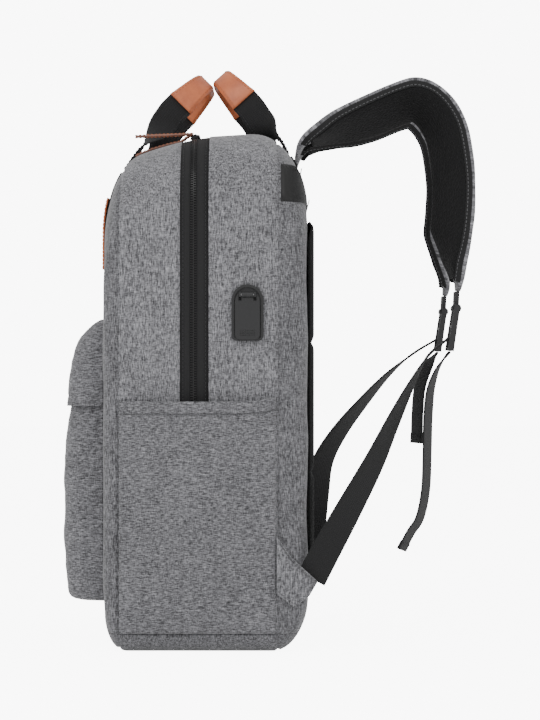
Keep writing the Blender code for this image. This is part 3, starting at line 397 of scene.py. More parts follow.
def keep_below(bm, point, normal):
    """Cut away what lies beyond a plane."""
    parts = bm.verts[:] + bm.edges[:] + bm.faces[:]
    bmesh.ops.bisect_plane(bm, geom=parts, dist=1e-6, plane_co=point, plane_no=normal, clear_outer=True)


def solid_skin(piece, thickness, lining=None):
    """Give an open skin its thickness, inward, with a lining if one is given."""
    step = piece.modifiers.new("thickness", "SOLIDIFY")
    step.thickness = thickness
    step.offset = -1
    step.use_even_offset = False
    if lining:
        piece.data.materials.append(lining)
        step.material_offset = 1
    bpy.context.view_layer.objects.active = piece
    bpy.ops.object.modifier_apply(modifier=step.name)


def shell_piece(name, planes, nodes, material=UPRIGHT_HEATHER, hole=False):
    bm = shell_mesh()
    for point, normal in planes:
        keep_below(bm, point, normal)
    if hole:
        inside = [face for face in bm.faces if face.calc_center_median().x > 0.14
                  and abs(face.calc_center_median().y - PORT_MID.y) < 0.0085
                  and abs(face.calc_center_median().z - PORT_MID.z) < 0.0185]
        bmesh.ops.delete(bm, geom=inside, context="FACES")
    piece = new_piece(name, bm, material)
    solid_skin(piece, SKIN, LINING)
    # Faces beyond the front and rear seams take the darker copy: painted shade on the bands that turn away from
    # the light.
    piece.data.materials.append(SHADED_BAND_HEATHER)
    for face in piece.data.polygons:
        if face.material_index == 0 and not FRONT_SEAM_Y < face.center.y < REAR_SEAM_Y:
            face.material_index = 2
    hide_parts(*nodes)
    return piece


# The upper front folds forward about a line across it. The cloth bends there, so the front is one
# skin that turns from the bag to the cover over a short height.
UP, DOWN, AFT, FORE = Vector((0, 0, 1)), Vector((0, 0, -1)), Vector((0, 1, 0)), Vector((0, -1, 0))
SEAM_GAP = 0.0002
above_base = ((0, 0, BASE_TOP + SEAM_GAP), DOWN)
# The base takes the darker copy too: painted shade under the bag.
base_skin = shell_piece("base_skin", [((0, 0, BASE_TOP - SEAM_GAP), UP)], ["base_panel"], SHADED_BAND_HEATHER)
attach(base_skin, "bag")
rear_skin = shell_piece("rear_skin", [((0, ZIP_REAR_Y, 0), FORE), above_base], ["rear_shell"], hole=True)
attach(rear_skin, "bag")
side_skin = shell_piece("side_skin", [((0, ZIP_FRONT_Y + SEAM_GAP, 0), FORE),
                                      ((0, ZIP_REAR_Y - SEAM_GAP, 0), AFT),
                                      above_base, ((0, 0, ZIP_END_Z), UP)], [])
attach(side_skin, "bag")
front_skin = shell_piece("front_skin", [((0, ZIP_FRONT_Y, 0), AFT), above_base],
                         ["front_panel", "front_cover"])
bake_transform(front_skin)


# ---------------------------------------------------------------- stitches
# Lockstitch in heavy thread: a row of short dashes that stand a little proud of the cloth.
def plain_material(name, colour, roughness, metallic=0.0):
    made = new_material(name, roughness, metallic)
    shader_of(made).inputs["Base Color"].default_value = (*colour, 1)
    return made


GREY_THREAD = plain_material("grey thread", (0.115, 0.115, 0.120), 0.7)
BLACK_THREAD = plain_material("black thread", (0.030, 0.030, 0.032), 0.6)
TAN_THREAD = plain_material("tan thread", (0.42, 0.13, 0.05), 0.6)
STITCH_PITCH = 0.0034
STITCH_LENGTH = 0.0025
STITCH_WIDTH = 0.0006
STITCH_HEIGHT = 0.00035


def along_run(run, pitch):
    """Evenly spaced (point, normal, direction) on a run of (point, normal) pairs."""
    spots = []
    offset = pitch / 2
    for (start, first), (end, second) in zip(run, run[1:]):
        step = end - start
        length = step.length
        while offset < length:
            share = offset / length
            spots.append((start.lerp(end, share), first.lerp(second, share).normalized(), step.normalized()))
            offset += pitch
        offset -= length
    return spots


def stitches(name, runs, thread, body=None):
    bm = bmesh.new()
    for run in runs:
        for point, normal, along in along_run(run, STITCH_PITCH):
            side = along.cross(normal).normalized() * STITCH_WIDTH / 2
            reach = along * STITCH_LENGTH / 2
            low = [point + sx * side + sy * reach - normal * 0.0004
                   for sx, sy in ((-1, -1), (1, -1), (1, 1), (-1, 1))]
            high = [point + 0.6 * sx * side + 0.7 * sy * reach + normal * STITCH_HEIGHT
                    for sx, sy in ((-1, -1), (1, -1), (1, 1), (-1, 1))]
            lower = [bm.verts.new(p) for p in low]
            upper = [bm.verts.new(p) for p in high]
            bm.faces.new(lower[::-1])
            bm.faces.new(upper)
            for i in range(4):
                j = (i + 1) % 4
                bm.faces.new((lower[i], lower[j], upper[j], upper[i]))
    bmesh.ops.recalc_face_normals(bm, faces=bm.faces)
    piece = new_piece(name, bm, thread)
    if body:
        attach(piece, body)
    return piece


# ---------------------------------------------------------------- side pockets
# One flat piece of the same fabric, its yarns lying across, sewn into the seams at both ends
# and into the base seam. Its rim is turned in twice and stitched.
POCKET_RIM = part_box("side_pocket_right")[1].z
POCKET_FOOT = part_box("side_pocket_right")[0].z
POCKET_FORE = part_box("side_pocket_right")[0].y
POCKET_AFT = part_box("side_pocket_right")[1].y
POCKET_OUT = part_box("side_pocket_right")[1].x
SIDE_BULGE = 0.0095
HEM = 0.0105
HEM_THICK = 0.0007


def pocket_side_x(y, z, rim):
    """Distance of the pocket's face from the middle of the bag."""
    middle = (POCKET_FORE + POCKET_AFT) / 2
    half = (POCKET_AFT - POCKET_FORE) / 2
    across = max(1 - abs((y - middle) / half) ** 2.6, 0.0)
    up = min(max((z - POCKET_FOOT) / 0.050, 0.0), 1.0)
    share = 0.02 + 0.98 * up * (2 - up)
    hem = HEM_THICK if z > rim - HEM else 0.0
    hem -= groove(z - (rim - HEM), 0.0007, 0.0018)
    return POCKET_OUT - SIDE_BULGE - HEM_THICK + SIDE_BULGE * share * across + hem


def pocket_rim_z(y):
    return POCKET_RIM + 0.0004 + 0.0040 * max(y / POCKET_AFT, 0.0) ** 5


for side, sign in SIDES:
    rows = []
    count_y, count_z = 84, 110
    for k in range(count_z + 1):
        row = []
        for i in range(count_y + 1):
            y = POCKET_FORE + (POCKET_AFT - POCKET_FORE) * i / count_y
            rim = pocket_rim_z(y)
            hem_share = 0.86
            t = k / count_z
            if t < hem_share:
                z = POCKET_FOOT + (rim - HEM - 0.002 - POCKET_FOOT) * t / hem_share
            else:
                z = rim - (HEM + 0.002) * (1 - t) / (1 - hem_share)
            edge = min(min(i, count_y - i) / 6, 1.0) * min(k / 8, 1.0)
            place = Vector((sign * 0.15, y, z))
            soft = (noise.noise(place * 17.0) * 0.0011
                    + noise.noise(Vector((sign * 5, y * 45, z * 110))) * 0.0005)
            row.append(Vector((sign * (pocket_side_x(y, z, rim) + soft * edge), y, z)))
        rows.append(row if sign > 0 else row[::-1])
    bm = bmesh.new()
    weave_faces(bm, rows)
    panel = new_piece("pocket_panel_" + side, bm, ACROSS_HEATHER)
    solid_skin(panel, 0.0021)
    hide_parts("side_pocket_" + side)
    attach(panel, "bag")
    run = []
    for i in range(61):
        y = POCKET_FORE + (POCKET_AFT - POCKET_FORE) * i / 60
        z = pocket_rim_z(y) - HEM
        run.append((Vector((sign * (pocket_side_x(y, z - 0.002, 1.0) + 0.0001), y, z)), Vector((sign, 0, 0))))
    stitches("pocket_hem_stitches_" + side, [run], GREY_THREAD, "bag")


# ---------------------------------------------------------------- front pocket
# A padded pouch with a gusset, its front corners rounded. It bulges at the middle and its mouth
# lies under the lid. The fabric's yarns lie across here too.
PANEL_FACE = FRONT_Y - 0.0003
FRONT_POCKET_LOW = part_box("front_pocket")[0]
FRONT_POCKET_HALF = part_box("front_pocket")[1].x
FRONT_POCKET_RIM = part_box("front_pocket")[1].z
LID_LOW, LID_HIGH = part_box("pocket_lid")


def between(levels, z):
    """Values of a list of levels (z, ...) at height z."""
    for low, high in zip(levels, levels[1:]):
        if z <= high[0]:
            share = max((z - low[0]) / (high[0] - low[0]), 0.0)
            return [a + (b - a) * share for a, b in zip(low, high)]
    return list(levels[-1])


def pocket_plan(z, front_y, half, radius, back=PANEL_FACE, sides=10, rounds=14, faces=76):
    """Row of points round the pocket at a height, from its right edge to its left one."""
    row = []
    for i in range(sides):
        row.append(Vector((half, back + (front_y + radius - back) * i / sides, z)))
    for i in range(rounds):
        turn = math.radians(90 * i / rounds)
        row.append(Vector((half - radius + radius * math.cos(turn),
                           front_y + radius - radius * math.sin(turn), z)))
    for i in range(faces):
        row.append(Vector((half - radius - 2 * (half - radius) * i / faces, front_y, z)))
    mirrored = [Vector((-p.x, p.y, p.z)) for p in row[:sides + rounds + 1]]
    return row + mirrored[::-1]


def crumple(rows, strength, calm_back=0.010, seed=0.0):
    """Move each point of rows along the surface's normal by soft creases, still where the piece is sewn."""
    lifted = []
    for k, row in enumerate(rows):
        new_row = []
        for i, point in enumerate(row):
            left = row[max(i - 1, 0)]
            right = row[min(i + 1, len(row) - 1)]
            up = rows[min(k + 1, len(rows) - 1)][i] - rows[max(k - 1, 0)][i]
            normal = (right - left).cross(up)
            normal = -normal.normalized() if normal.length > 1e-9 else Vector((0, 0, 0))
            still = min(abs(point.y - PANEL_FACE) / calm_back, 1.0)
            fold = noise.noise(Vector((point.x * 9 + seed, point.y * 26, point.z * 46))) * 0.0016
            fold += noise.noise(Vector((point.x * 30 + seed, point.y * 55, point.z * 120))) * 0.0006
            new_row.append(point + normal * fold * still * strength)
        lifted.append(new_row)
    return lifted


deep = FRONT_POCKET_LOW.y
base = FRONT_POCKET_LOW.z
half = FRONT_POCKET_HALF
front_levels = [(base, deep + 0.0115, half - 0.010), (base + 0.0012, deep + 0.0080, half - 0.0066),
                (base + 0.003, deep + 0.0055, half - 0.004), (base + 0.006, deep + 0.0037, half - 0.0022),
                (base + 0.010, deep + 0.0025, half - 0.001), (base + 0.035, deep + 0.0005, half),
                (base + 0.107, deep, half), (base + 0.135, deep + 0.001, half),
                (LID_LOW.z, deep + 0.0055, half - 0.0015), (FRONT_POCKET_RIM, deep + 0.0125, half - 0.0025)]
heights = [base, base + 0.0012, base + 0.003, base + 0.006, base + 0.010]
heights += [base + 0.010 + (FRONT_POCKET_RIM - base - 0.010) * i / 78 for i in range(1, 79)]
rows = []
for share in (0.02, 0.35, 0.7, 0.92):
    _, front_y, wide = between(front_levels, base)
    outer = pocket_plan(base, front_y, wide, 0.020)
    rows.append([Vector((p.x * share, PANEL_FACE + (p.y - PANEL_FACE) * share, p.z)) for p in outer])
for z in heights:
    _, front_y, wide = between(front_levels, z)
    rows.append(pocket_plan(z, front_y, wide, 0.020))
bm = bmesh.new()
weave_faces(bm, crumple(rows, 1.0))
bmesh.ops.recalc_face_normals(bm, faces=bm.faces)
pouch = new_piece("front_pouch", bm, ACROSS_HEATHER)
solid_skin(pouch, 0.0022)
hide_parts("front_pocket")
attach(pouch, "bag")


# ---------------------------------------------------------------- the pocket's lid
# A shaped flap sewn to the front panel along its top, with a turned hem that hangs over the
# pocket's mouth. Two rows of stitches hold the hem, and the fabric puckers between them.
top = LID_HIGH.z
half = LID_HIGH.x
lid_levels = [(LID_LOW.z, deep + 0.0024, half, 0.020),
              (LID_LOW.z + 0.020, deep + 0.0041, half - 0.0006, 0.020),
              (LID_LOW.z + 0.038, deep + 0.0060, half - 0.0014, 0.020),
              (top - 0.0245, deep + 0.0094, half - 0.0030, 0.020),
              (top - 0.0190, deep + 0.0113, half - 0.0048, 0.019),
              (top - 0.0145, deep + 0.0138, half - 0.0070, 0.018),
              (top - 0.0090, deep + 0.0182, half - 0.0108, 0.0148),
              (top - 0.0050, deep + 0.0225, half - 0.0150, 0.0115),
              (top - 0.0020, deep + 0.0270, half - 0.0196, 0.0070),
              (top, deep + 0.0310, half - 0.0240, 0.0030)]
LID_HEM = 0.0085
rows = []
lid_heights = [LID_LOW.z + LID_HEM * i / 10 for i in range(11)]
lid_heights += [LID_LOW.z + LID_HEM + (top - LID_LOW.z - LID_HEM) * i / 44 for i in range(1, 45)]
for z in lid_heights:
    _, front_y, wide, radius = between(lid_levels, z)
    pinch = groove(z - LID_LOW.z - LID_HEM, 0.0006, 0.0016)
    rows.append(pocket_plan(z, front_y + pinch, wide - pinch, radius))
flap = crumple(rows, 0.8, 0.008, 3.0)
bm = bmesh.new()
weave_faces(bm, flap)
bmesh.ops.recalc_face_normals(bm, faces=bm.faces)
lid = new_piece("lid_flap", bm, ACROSS_HEATHER)
solid_skin(lid, 0.0020)
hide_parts("pocket_lid")
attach(lid, "pocket_lid")


def row_run(rows, index, lift=0.0001):
    """Run of (point, normal) along one row of a lofted piece, for stitches."""
    row = rows[index]
    run = []
    for i, point in enumerate(row):
        step = row[min(i + 1, len(row) - 1)] - row[max(i - 1, 0)]
        up = rows[index + 1][i] - rows[index - 1][i]
        normal = -step.cross(up).normalized()
        run.append((point + normal * lift, normal))
    return run


stitches("lid_stitches", [row_run(flap, 3), row_run(flap, 10)], GREY_THREAD, "pocket_lid")


# ---------------------------------------------------------------- leather
# Tan split leather, finished smooth: a fine pebbled grain and a soft gloss.
def leather(name, light, dark, roughness):
    made = new_material(name, roughness)
    place = object_coordinates(made)
    cloud = streaks(made, place, (60, 60, 60), 5.0)
    colour = ramp(made, cloud, [(0.30, dark), (0.55, light), (0.75, tuple(c * 1.10 for c in light))])
    made.node_tree.links.new(colour, shader_of(made).inputs["Base Color"])
    pebble = add_node(made, "ShaderNodeTexVoronoi", Scale=900.0)
    made.node_tree.links.new(place, pebble.inputs["Vector"])
    fine = streaks(made, place, (2200, 2200, 2200), 2.0)
    grain = maths(made, "ADD", pebble.outputs["Distance"], maths(made, "MULTIPLY", fine, 0.6))
    bump(made, grain, 0.22, 0.0004)
    return made


LEATHER = leather("tan leather", (0.60, 0.165, 0.062), (0.44, 0.105, 0.040), 0.46)
PULL_LEATHER = leather("brown leather", (0.25, 0.110, 0.075), (0.15, 0.062, 0.045), 0.52)


def smooth_path(points, steps=4):
    """Catmull-Rom curve through the given points."""
    knots = [Vector(p) for p in points]
    knots = [2 * knots[0] - knots[1]] + knots + [2 * knots[-1] - knots[-2]]
    path = []
    for a, b, c, d in zip(knots, knots[1:], knots[2:], knots[3:]):
        for i in range(steps):
            t = i / steps
            path.append(0.5 * (2 * b + (c - a) * t + (2 * a - 5 * b + 4 * c - d) * t * t
                               + (3 * b - a - 3 * c + d) * t ** 3))
    return path + [knots[-2]]


def directions(path):
    ends = [path[1] - path[0]]
    middle = [after - before for before, after in zip(path, path[2:])]
    return [step.normalized() for step in ends + middle + [path[-1] - path[-2]]]


def ribbon(name, path, across, width, thick, material, lanes=12, crown=0.0, rolled=0.35):
    """Closed flat strip with soft edges. Its UV map is in metres, across and along the strip."""
    bm = bmesh.new()
    uv = bm.loops.layers.uv.new("weave")
    last = len(path) - 1
    rows = []
    walked = 0.0
    for i, (point, along) in enumerate(zip(path, directions(path))):
        side = (across(i) if callable(across) else Vector(across)).normalized()
        out = along.cross(side).normalized()
        wide = (width(i / last) if callable(width) else width) / 2
        deep = (thick(i / last) if callable(thick) else thick) / 2
        walked += (point - path[i - 1]).length if i else 0.0
        ring = []
        for face, order in ((1, range(lanes + 1)), (-1, range(lanes, -1, -1))):
            for lane in order:
                share = 2 * lane / lanes - 1
                share = math.sin(share * math.pi / 2)
                soft = 1 - rolled * max(abs(share) - 0.80, 0.0) / 0.20
                place = point + side * wide * share + out * (face * deep * soft + crown * (1 - share * share))
                ring.append((bm.verts.new(place), (wide * share, walked)))
        rows.append(ring)
    count = len(rows[0])
    for low, high in zip(rows, rows[1:]):
        for i in range(count):
            j = (i + 1) % count
            corners = (low[i], low[j], high[j], high[i])
            face = bm.faces.new([corner[0] for corner in corners])
            for loop, corner in zip(face.loops, corners):
                loop[uv].uv = corner[1]
    for ring in (rows[0], rows[-1]):
        bm.faces.new([corner[0] for corner in ring])
    bmesh.ops.recalc_face_normals(bm, faces=bm.faces)
    return new_piece(name, bm, material)


def edge_runs(path, across, inset, width, lift, faces=(1,)):
    """Runs of (point, normal) beside both edges of a strip, for its stitches."""
    runs = []
    last = len(path) - 1
    for face in faces:
        for hand in (-1, 1):
            run = []
            for i, (point, along) in enumerate(zip(path, directions(path))):
                side = (across(i) if callable(across) else Vector(across)).normalized()
                out = along.cross(side).normalized() * face
                wide = (width(i / last) if callable(width) else width) / 2 - inset
                run.append((point + side * wide * hand + out * lift, out))
            runs.append(run)
    return runs


# The leather strap on the pocket's front is sewn down at both ends and bows out between them, with
# a narrow keeper round it near its lower end.
TAB_LOW, TAB_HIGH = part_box("pocket_tab")
TAB_WIDTH = TAB_HIGH.x - TAB_LOW.x
tab_path = []
for i in range(33):
    t = i / 32
    bow = 0.0028 * math.sin(math.pi * t) ** 0.7
    tab_path.append(Vector((0, deep - 0.0013 - bow - 0.0002, TAB_LOW.z + (TAB_HIGH.z - TAB_LOW.z) * t)))
tab = ribbon("leather_strap", tab_path, (1, 0, 0), TAB_WIDTH, 0.0020, LEATHER, 14)
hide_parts("pocket_tab")
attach(tab, "bag")
tab_stitch = [[(p + Vector((x, -0.0011, 0)), Vector((0, -1, 0))) for p in tab_path]
              for x in (-0.0105, 0.0105)]
stitches("leather_strap_stitches", tab_stitch, TAN_THREAD, "bag")
keeper_z = TAB_LOW.z + 0.018
keeper_y = min(tab_path, key=lambda p: abs(p.z - keeper_z)).y
keeper_path = [Vector((0.0132 * math.cos(math.radians(a)),
                       keeper_y + 0.0004 + 0.0019 * math.sin(math.radians(a)) *
                       (1 if math.sin(math.radians(a)) < 0 else 0.4), keeper_z))
               for a in range(-180, 1, 12)]
keeper = ribbon("leather_keeper", keeper_path, (0, 0, 1), 0.0055, 0.0012, LEATHER, 8)
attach(keeper, "bag")


# ---------------------------------------------------------------- webbing and black cloths
# Woven polypropylene tape: ribs along its length, crossed by fine picks.
def rib(material, coordinate, pitch):
    return maths(material, "SINE", maths(material, "MULTIPLY", coordinate, 2 * math.pi / pitch), 0.0)


def tape_weave(name, colour, across_pitch, along_pitch, roughness, height):
    made = new_material(name, roughness)
    uv = add_node(made, "ShaderNodeUVMap")
    uv.uv_map = "weave"
    split = add_node(made, "ShaderNodeSeparateXYZ")
    made.node_tree.links.new(uv.outputs["UV"], split.inputs["Vector"])
    ribs = rib(made, split.outputs["X"], across_pitch)
    picks = rib(made, split.outputs["Y"], along_pitch)
    weave = maths(made, "ADD", maths(made, "MULTIPLY", ribs, 0.5), maths(made, "MULTIPLY", picks, 0.5))
    level = maths(made, "ADD", maths(made, "MULTIPLY", weave, 0.25), 0.5)
    tint = ramp(made, level, [(0.2, tuple(c * 0.55 for c in colour)), (0.8, tuple(c * 1.5 for c in colour))])
    made.node_tree.links.new(tint, shader_of(made).inputs["Base Color"])
    shader_of(made).inputs["Sheen Weight"].default_value = 0.05
    bump(made, weave, 0.5, height)
    return made


WEBBING = tape_weave("black webbing", (0.0045, 0.0045, 0.0050), 0.0019, 0.0016, 0.80, 0.0003)


def black_cloth(name, colour, scale, roughness, height):
    made = new_material(name, roughness)
    place = object_coordinates(made)
    cells = add_node(made, "ShaderNodeTexVoronoi", Scale=scale)
    made.node_tree.links.new(place, cells.inputs["Vector"])
    tint = ramp(made, cells.outputs["Distance"], [(0.10, tuple(c * 0.35 for c in colour)), (0.55, colour)])
    made.node_tree.links.new(tint, shader_of(made).inputs["Base Color"])
    bump(made, cells.outputs["Distance"], 0.8, height)
    return made


MESH = black_cloth("black spacer mesh", (0.0040, 0.0040, 0.0045), 420.0, 0.95, 0.0010)
COATED = black_cloth("black coated fabric", (0.0060, 0.0060, 0.0062), 1500.0, 0.58, 0.0002)


# ---------------------------------------------------------------- zip
# A coil zip set in black tape runs from one side pocket over the top to the other. Each half of the
# tape is stitched down beside the fabric's edge. The front half is one strip that runs on across the line where
# the front folds.
def tape_material():
    made = new_material("zip tape", 0.85)
    place = object_coordinates(made)
    weave = streaks(made, place, (900, 2600, 900), 3.0)
    tint = ramp(made, weave, [(0.35, (0.005, 0.005, 0.0055)), (0.65, (0.016, 0.016, 0.017))])
    made.node_tree.links.new(tint, shader_of(made).inputs["Base Color"])
    bump(made, weave, 0.4, 0.0003)
    return made


TAPE = tape_material()
COIL = plain_material("zip coil", (0.010, 0.010, 0.0105), 0.42)
TEETH_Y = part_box("zipper_coil_rear")[0].y - 0.0002


def zip_line(y, inset):
    """Evenly walked outline from the right end to the left one."""
    ring = outline(y, inset, 120, 24)
    half = half_width(y) - inset
    start = Vector((half, y, ZIP_END_Z))
    end = Vector((-half, y, ZIP_END_Z))
    rising = sorted([p for p in ring if p.x > half - 1e-6 and p.z > ZIP_END_Z], key=lambda p: p.z)
    falling = [Vector((-p.x, p.y, p.z)) for p in rising[::-1]]
    crown = [p for p in ring if p.z > top_z(y) - inset - (TOP_ROUND - inset) + 1e-6]
    crown.sort(key=lambda p: -p.x if abs(p.x) > 0 else 0)
    return [start] + rising + crown + falling + [end]


def tape_strip(name, low_y, high_y, nodes):
    rows = []
    for share, sunk in ((0.0, 0.0022), (0.02, 0.0012), (0.5, 0.0010), (0.98, 0.0012), (1.0, 0.0022)):
        rows.append(zip_line(low_y + (high_y - low_y) * share, sunk))
    shortest = min(len(row) for row in rows)
    rows = [row[:shortest] for row in rows]
    bm = bmesh.new()
    weave_faces(bm, rows)
    bmesh.ops.recalc_face_normals(bm, faces=bm.faces)
    piece = new_piece(name, bm, TAPE)
    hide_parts(*nodes)
    return piece


def outward(y, point):
    """Normal of the bag's outline at a point of it."""
    half = half_width(y)
    high = top_z(y)
    centre = Vector((math.copysign(half - TOP_ROUND, point.x), y, high - TOP_ROUND))
    if point.z < centre.z:
        return Vector((math.copysign(1, point.x), 0, 0))
    if abs(point.x) < abs(centre.x):
        return Vector((0, 0, 1))
    return (point - centre).normalized()


def coil_teeth(name, y, hand, nodes):
    """Half of the coil: one rounded loop for each tooth, on a low core."""
    bm = bmesh.new()
    line = [(p, outward(y, p)) for p in zip_line(y, 0.0)]
    for point, normal, along in along_run(line, 0.0021):
        if hand < 0:
            point = point + along * 0.00105
        outer = Vector((0, hand, 0)) * 0.0026
        inner = Vector((0, -hand, 0)) * 0.0004
        across = along * 0.00052
        sunk = normal * -0.0016
        high = normal * -0.0001
        corners = [point + inner - across, point + outer - across,
                   point + outer + across, point + inner + across]
        lower = [bm.verts.new(c + sunk) for c in corners]
        upper = [bm.verts.new(point + (c - point) * 0.8 + high) for c in corners]
        bm.faces.new(lower[::-1])
        bm.faces.new(upper)
        for i in range(4):
            j = (i + 1) % 4
            bm.faces.new((lower[i], lower[j], upper[j], upper[i]))
    bmesh.ops.recalc_face_normals(bm, faces=bm.faces)
    piece = new_piece(name, bm, COIL, False)
    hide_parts(*nodes)
    return piece


front_tapes = ["zipper_tape_front", "zipper_tape_lower_right", "zipper_tape_lower_left"]
front_coils = ["zipper_coil_front", "zipper_coil_lower_right", "zipper_coil_lower_left"]
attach(tape_strip("rear_tape", TEETH_Y + 0.0002, ZIP_REAR_Y, ["zipper_tape_rear"]), "bag")
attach(coil_teeth("rear_teeth", TEETH_Y, 1, ["zipper_coil_rear"]), "bag")
front_halves = [tape_strip("front_tape", ZIP_FRONT_Y, TEETH_Y - 0.0002, front_tapes),
                coil_teeth("front_teeth", TEETH_Y, -1, front_coils)]
for name, y in (("rear", ZIP_REAR_Y - 0.0026), ("front", ZIP_FRONT_Y + 0.0026)):
    line = [(p - outward(y, p) * 0.0009, outward(y, p)) for p in zip_line(y, 0.0)]
    row = stitches("zip_stitches_" + name, [line], BLACK_THREAD)
    if name == "rear":
        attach(row, "bag")
    else:
        front_halves.append(row)
for piece in front_halves:
    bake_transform(piece)


# The sliders are black die castings, each with a bail that holds a strip of brown leather.
BLACK_METAL = plain_material("black metal", (0.020, 0.020, 0.021), 0.34, 0.7)


def bevelled(node, width, material):
    """Soften a CAD piece's edges and give it its finish."""
    piece = frame["nodes"][node]
    piece.data.materials.clear()
    piece.data.materials.append(material)
    step = piece.modifiers.new("edges", "BEVEL")
    step.width = width
    step.segments = 2
    step.limit_method = "ANGLE"
    return piece


def top_normal(y):
    slope = (top_z(y + 0.0004) - top_z(y - 0.0004)) / 0.0008
    return Vector((0, -slope, 1)).normalized()


def above_top(y, lift, x=0.0):
    return Vector((x, y, top_z(y))) + top_normal(y) * lift


for side, lies_down in (("right", False), ("left", True)):
    bevelled("zipper_slider_" + side, 0.0003, BLACK_METAL)
    hinge = Vector(JOINTS["pull_%s_swing" % side]["pos_m"])
    over = 0.0013
    points = [hinge + Vector((0, -0.0017, over)), hinge + Vector((0, -0.0060, over))]
    for y in (-0.017, -0.026, -0.037, -0.047, -0.0555):
        straight = Vector((hinge.x, y, hinge.z + over + 0.0020 * (y - hinge.y) / 0.052))
        points.append(above_top(y, 0.0016, hinge.x) if lies_down else straight)
    path = smooth_path(points, 5)

    def pull_width(t):
        return 0.0052 + 0.0030 * min(t / 0.45, 1.0) - 0.0022 * max((t - 0.9) / 0.1, 0.0)

    pull = ribbon("pull_strip_" + side, path, (1, 0, 0), pull_width, 0.0020, PULL_LEATHER, 10)
    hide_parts("zip_pull_" + side)
    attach(pull, "pull_" + side)
    stitches("pull_stitches_" + side, edge_runs(path, (1, 0, 0), 0.0012, pull_width, 0.0010, (1, -1)),
             TAN_THREAD, "pull_" + side)


# ---------------------------------------------------------------- hand loops
# Two loops of webbing, one sewn to the front panel and one to the back, lean together at the top.
# Each leg turns a quarter where it goes into a leather grip, folded round the webbing and stitched.
WEB_THICK = 0.0018
WEB_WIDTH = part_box("front_handle_anchor_right")[1].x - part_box("front_handle_anchor_right")[0].x
GRIP_THICK = 0.0050
ARCH_R = 0.030
X_AXIS = Vector((1, 0, 0))


def grip_width(t):
    return WEB_WIDTH + 0.0006 - 0.0075 * math.sin(math.pi * t) ** 0.8


def grip_path(base_mid, lean):
    path = []
    for i in range(25):
        turn = math.radians(90 * i / 24)
        reach = HANDLE_HALF_SPAN - ARCH_R + ARCH_R * math.cos(turn)
        path.append(base_mid + X_AXIS * reach + lean * ARCH_R * math.sin(turn))
    return path + [Vector((-p.x, p.y, p.z)) for p in path[-2::-1]]


def hand_loop(name, body, base_mid, lean, rise):
    hinge = Vector(JOINTS[name + "_swing"]["pos_m"])
    across = X_AXIS.cross(lean)
    path = grip_path(base_mid, lean)
    grip = ribbon(name + "_leather", path, across, grip_width, GRIP_THICK, LEATHER, 18, 0.0, 0.55)
    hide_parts(name + "_grip")
    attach(grip, body)
    runs = edge_runs(path, across, 0.0024, grip_width, GRIP_THICK / 2 - 0.0001, (1, -1))
    stitches(name + "_grip_stitches", runs, TAN_THREAD, body)
    for side, sign in SIDES:
        seat = base_mid + X_AXIS * sign * HANDLE_HALF_SPAN
        knots = [(seat.x, hinge.y, hinge.z)] + [(seat.x, y, z) for y, z in rise] + [seat - lean * 0.010]
        leg = smooth_path(knots, 9) + [seat + lean * 0.0030]
        last = len(leg) - 1
        ways = directions(leg)

        def turned(i, ways=ways, last=last, sign=sign):
            share = min(max((i / last - 0.25) / 0.6, 0.0), 1.0)
            angle = math.pi / 2 * share * share * (3 - 2 * share)
            return X_AXIS * math.cos(angle) * sign + ways[i].cross(X_AXIS) * math.sin(angle)

        web = ribbon(name + "_web_" + side, leg, turned, WEB_WIDTH, WEB_THICK, WEBBING, 12)
        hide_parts(name + "_leg_" + side)
        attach(web, body)
        runs = edge_runs(leg, turned, 0.0020, WEB_WIDTH, WEB_THICK / 2, (1, -1))
        stitches(name + "_web_stitches_" + side, runs, BLACK_THREAD, body)


FRONT_LEAN = Vector((0, 1, 1)).normalized()
REAR_LEAN = Vector((0, -0.67, 0.74)).normalized()
hand_loop("front_handle", "front_handle", Vector((0, FRONT_Y + 0.0626, HEIGHT + 0.0292)), FRONT_LEAN,
          [(FRONT_Y + 0.0260, HEIGHT - 0.0125), (FRONT_Y + 0.0370, HEIGHT),
           (FRONT_Y + 0.0480, HEIGHT + 0.0120)])
hand_loop("rear_handle", "rear_handle", Vector((0, BACK_Y - 0.0548, HEIGHT + 0.0325)), REAR_LEAN,
          [(BACK_Y - 0.0230, HEIGHT - 0.0025), (BACK_Y - 0.0310, HEIGHT + 0.0040),
           (BACK_Y - 0.0390, HEIGHT + 0.0120)])

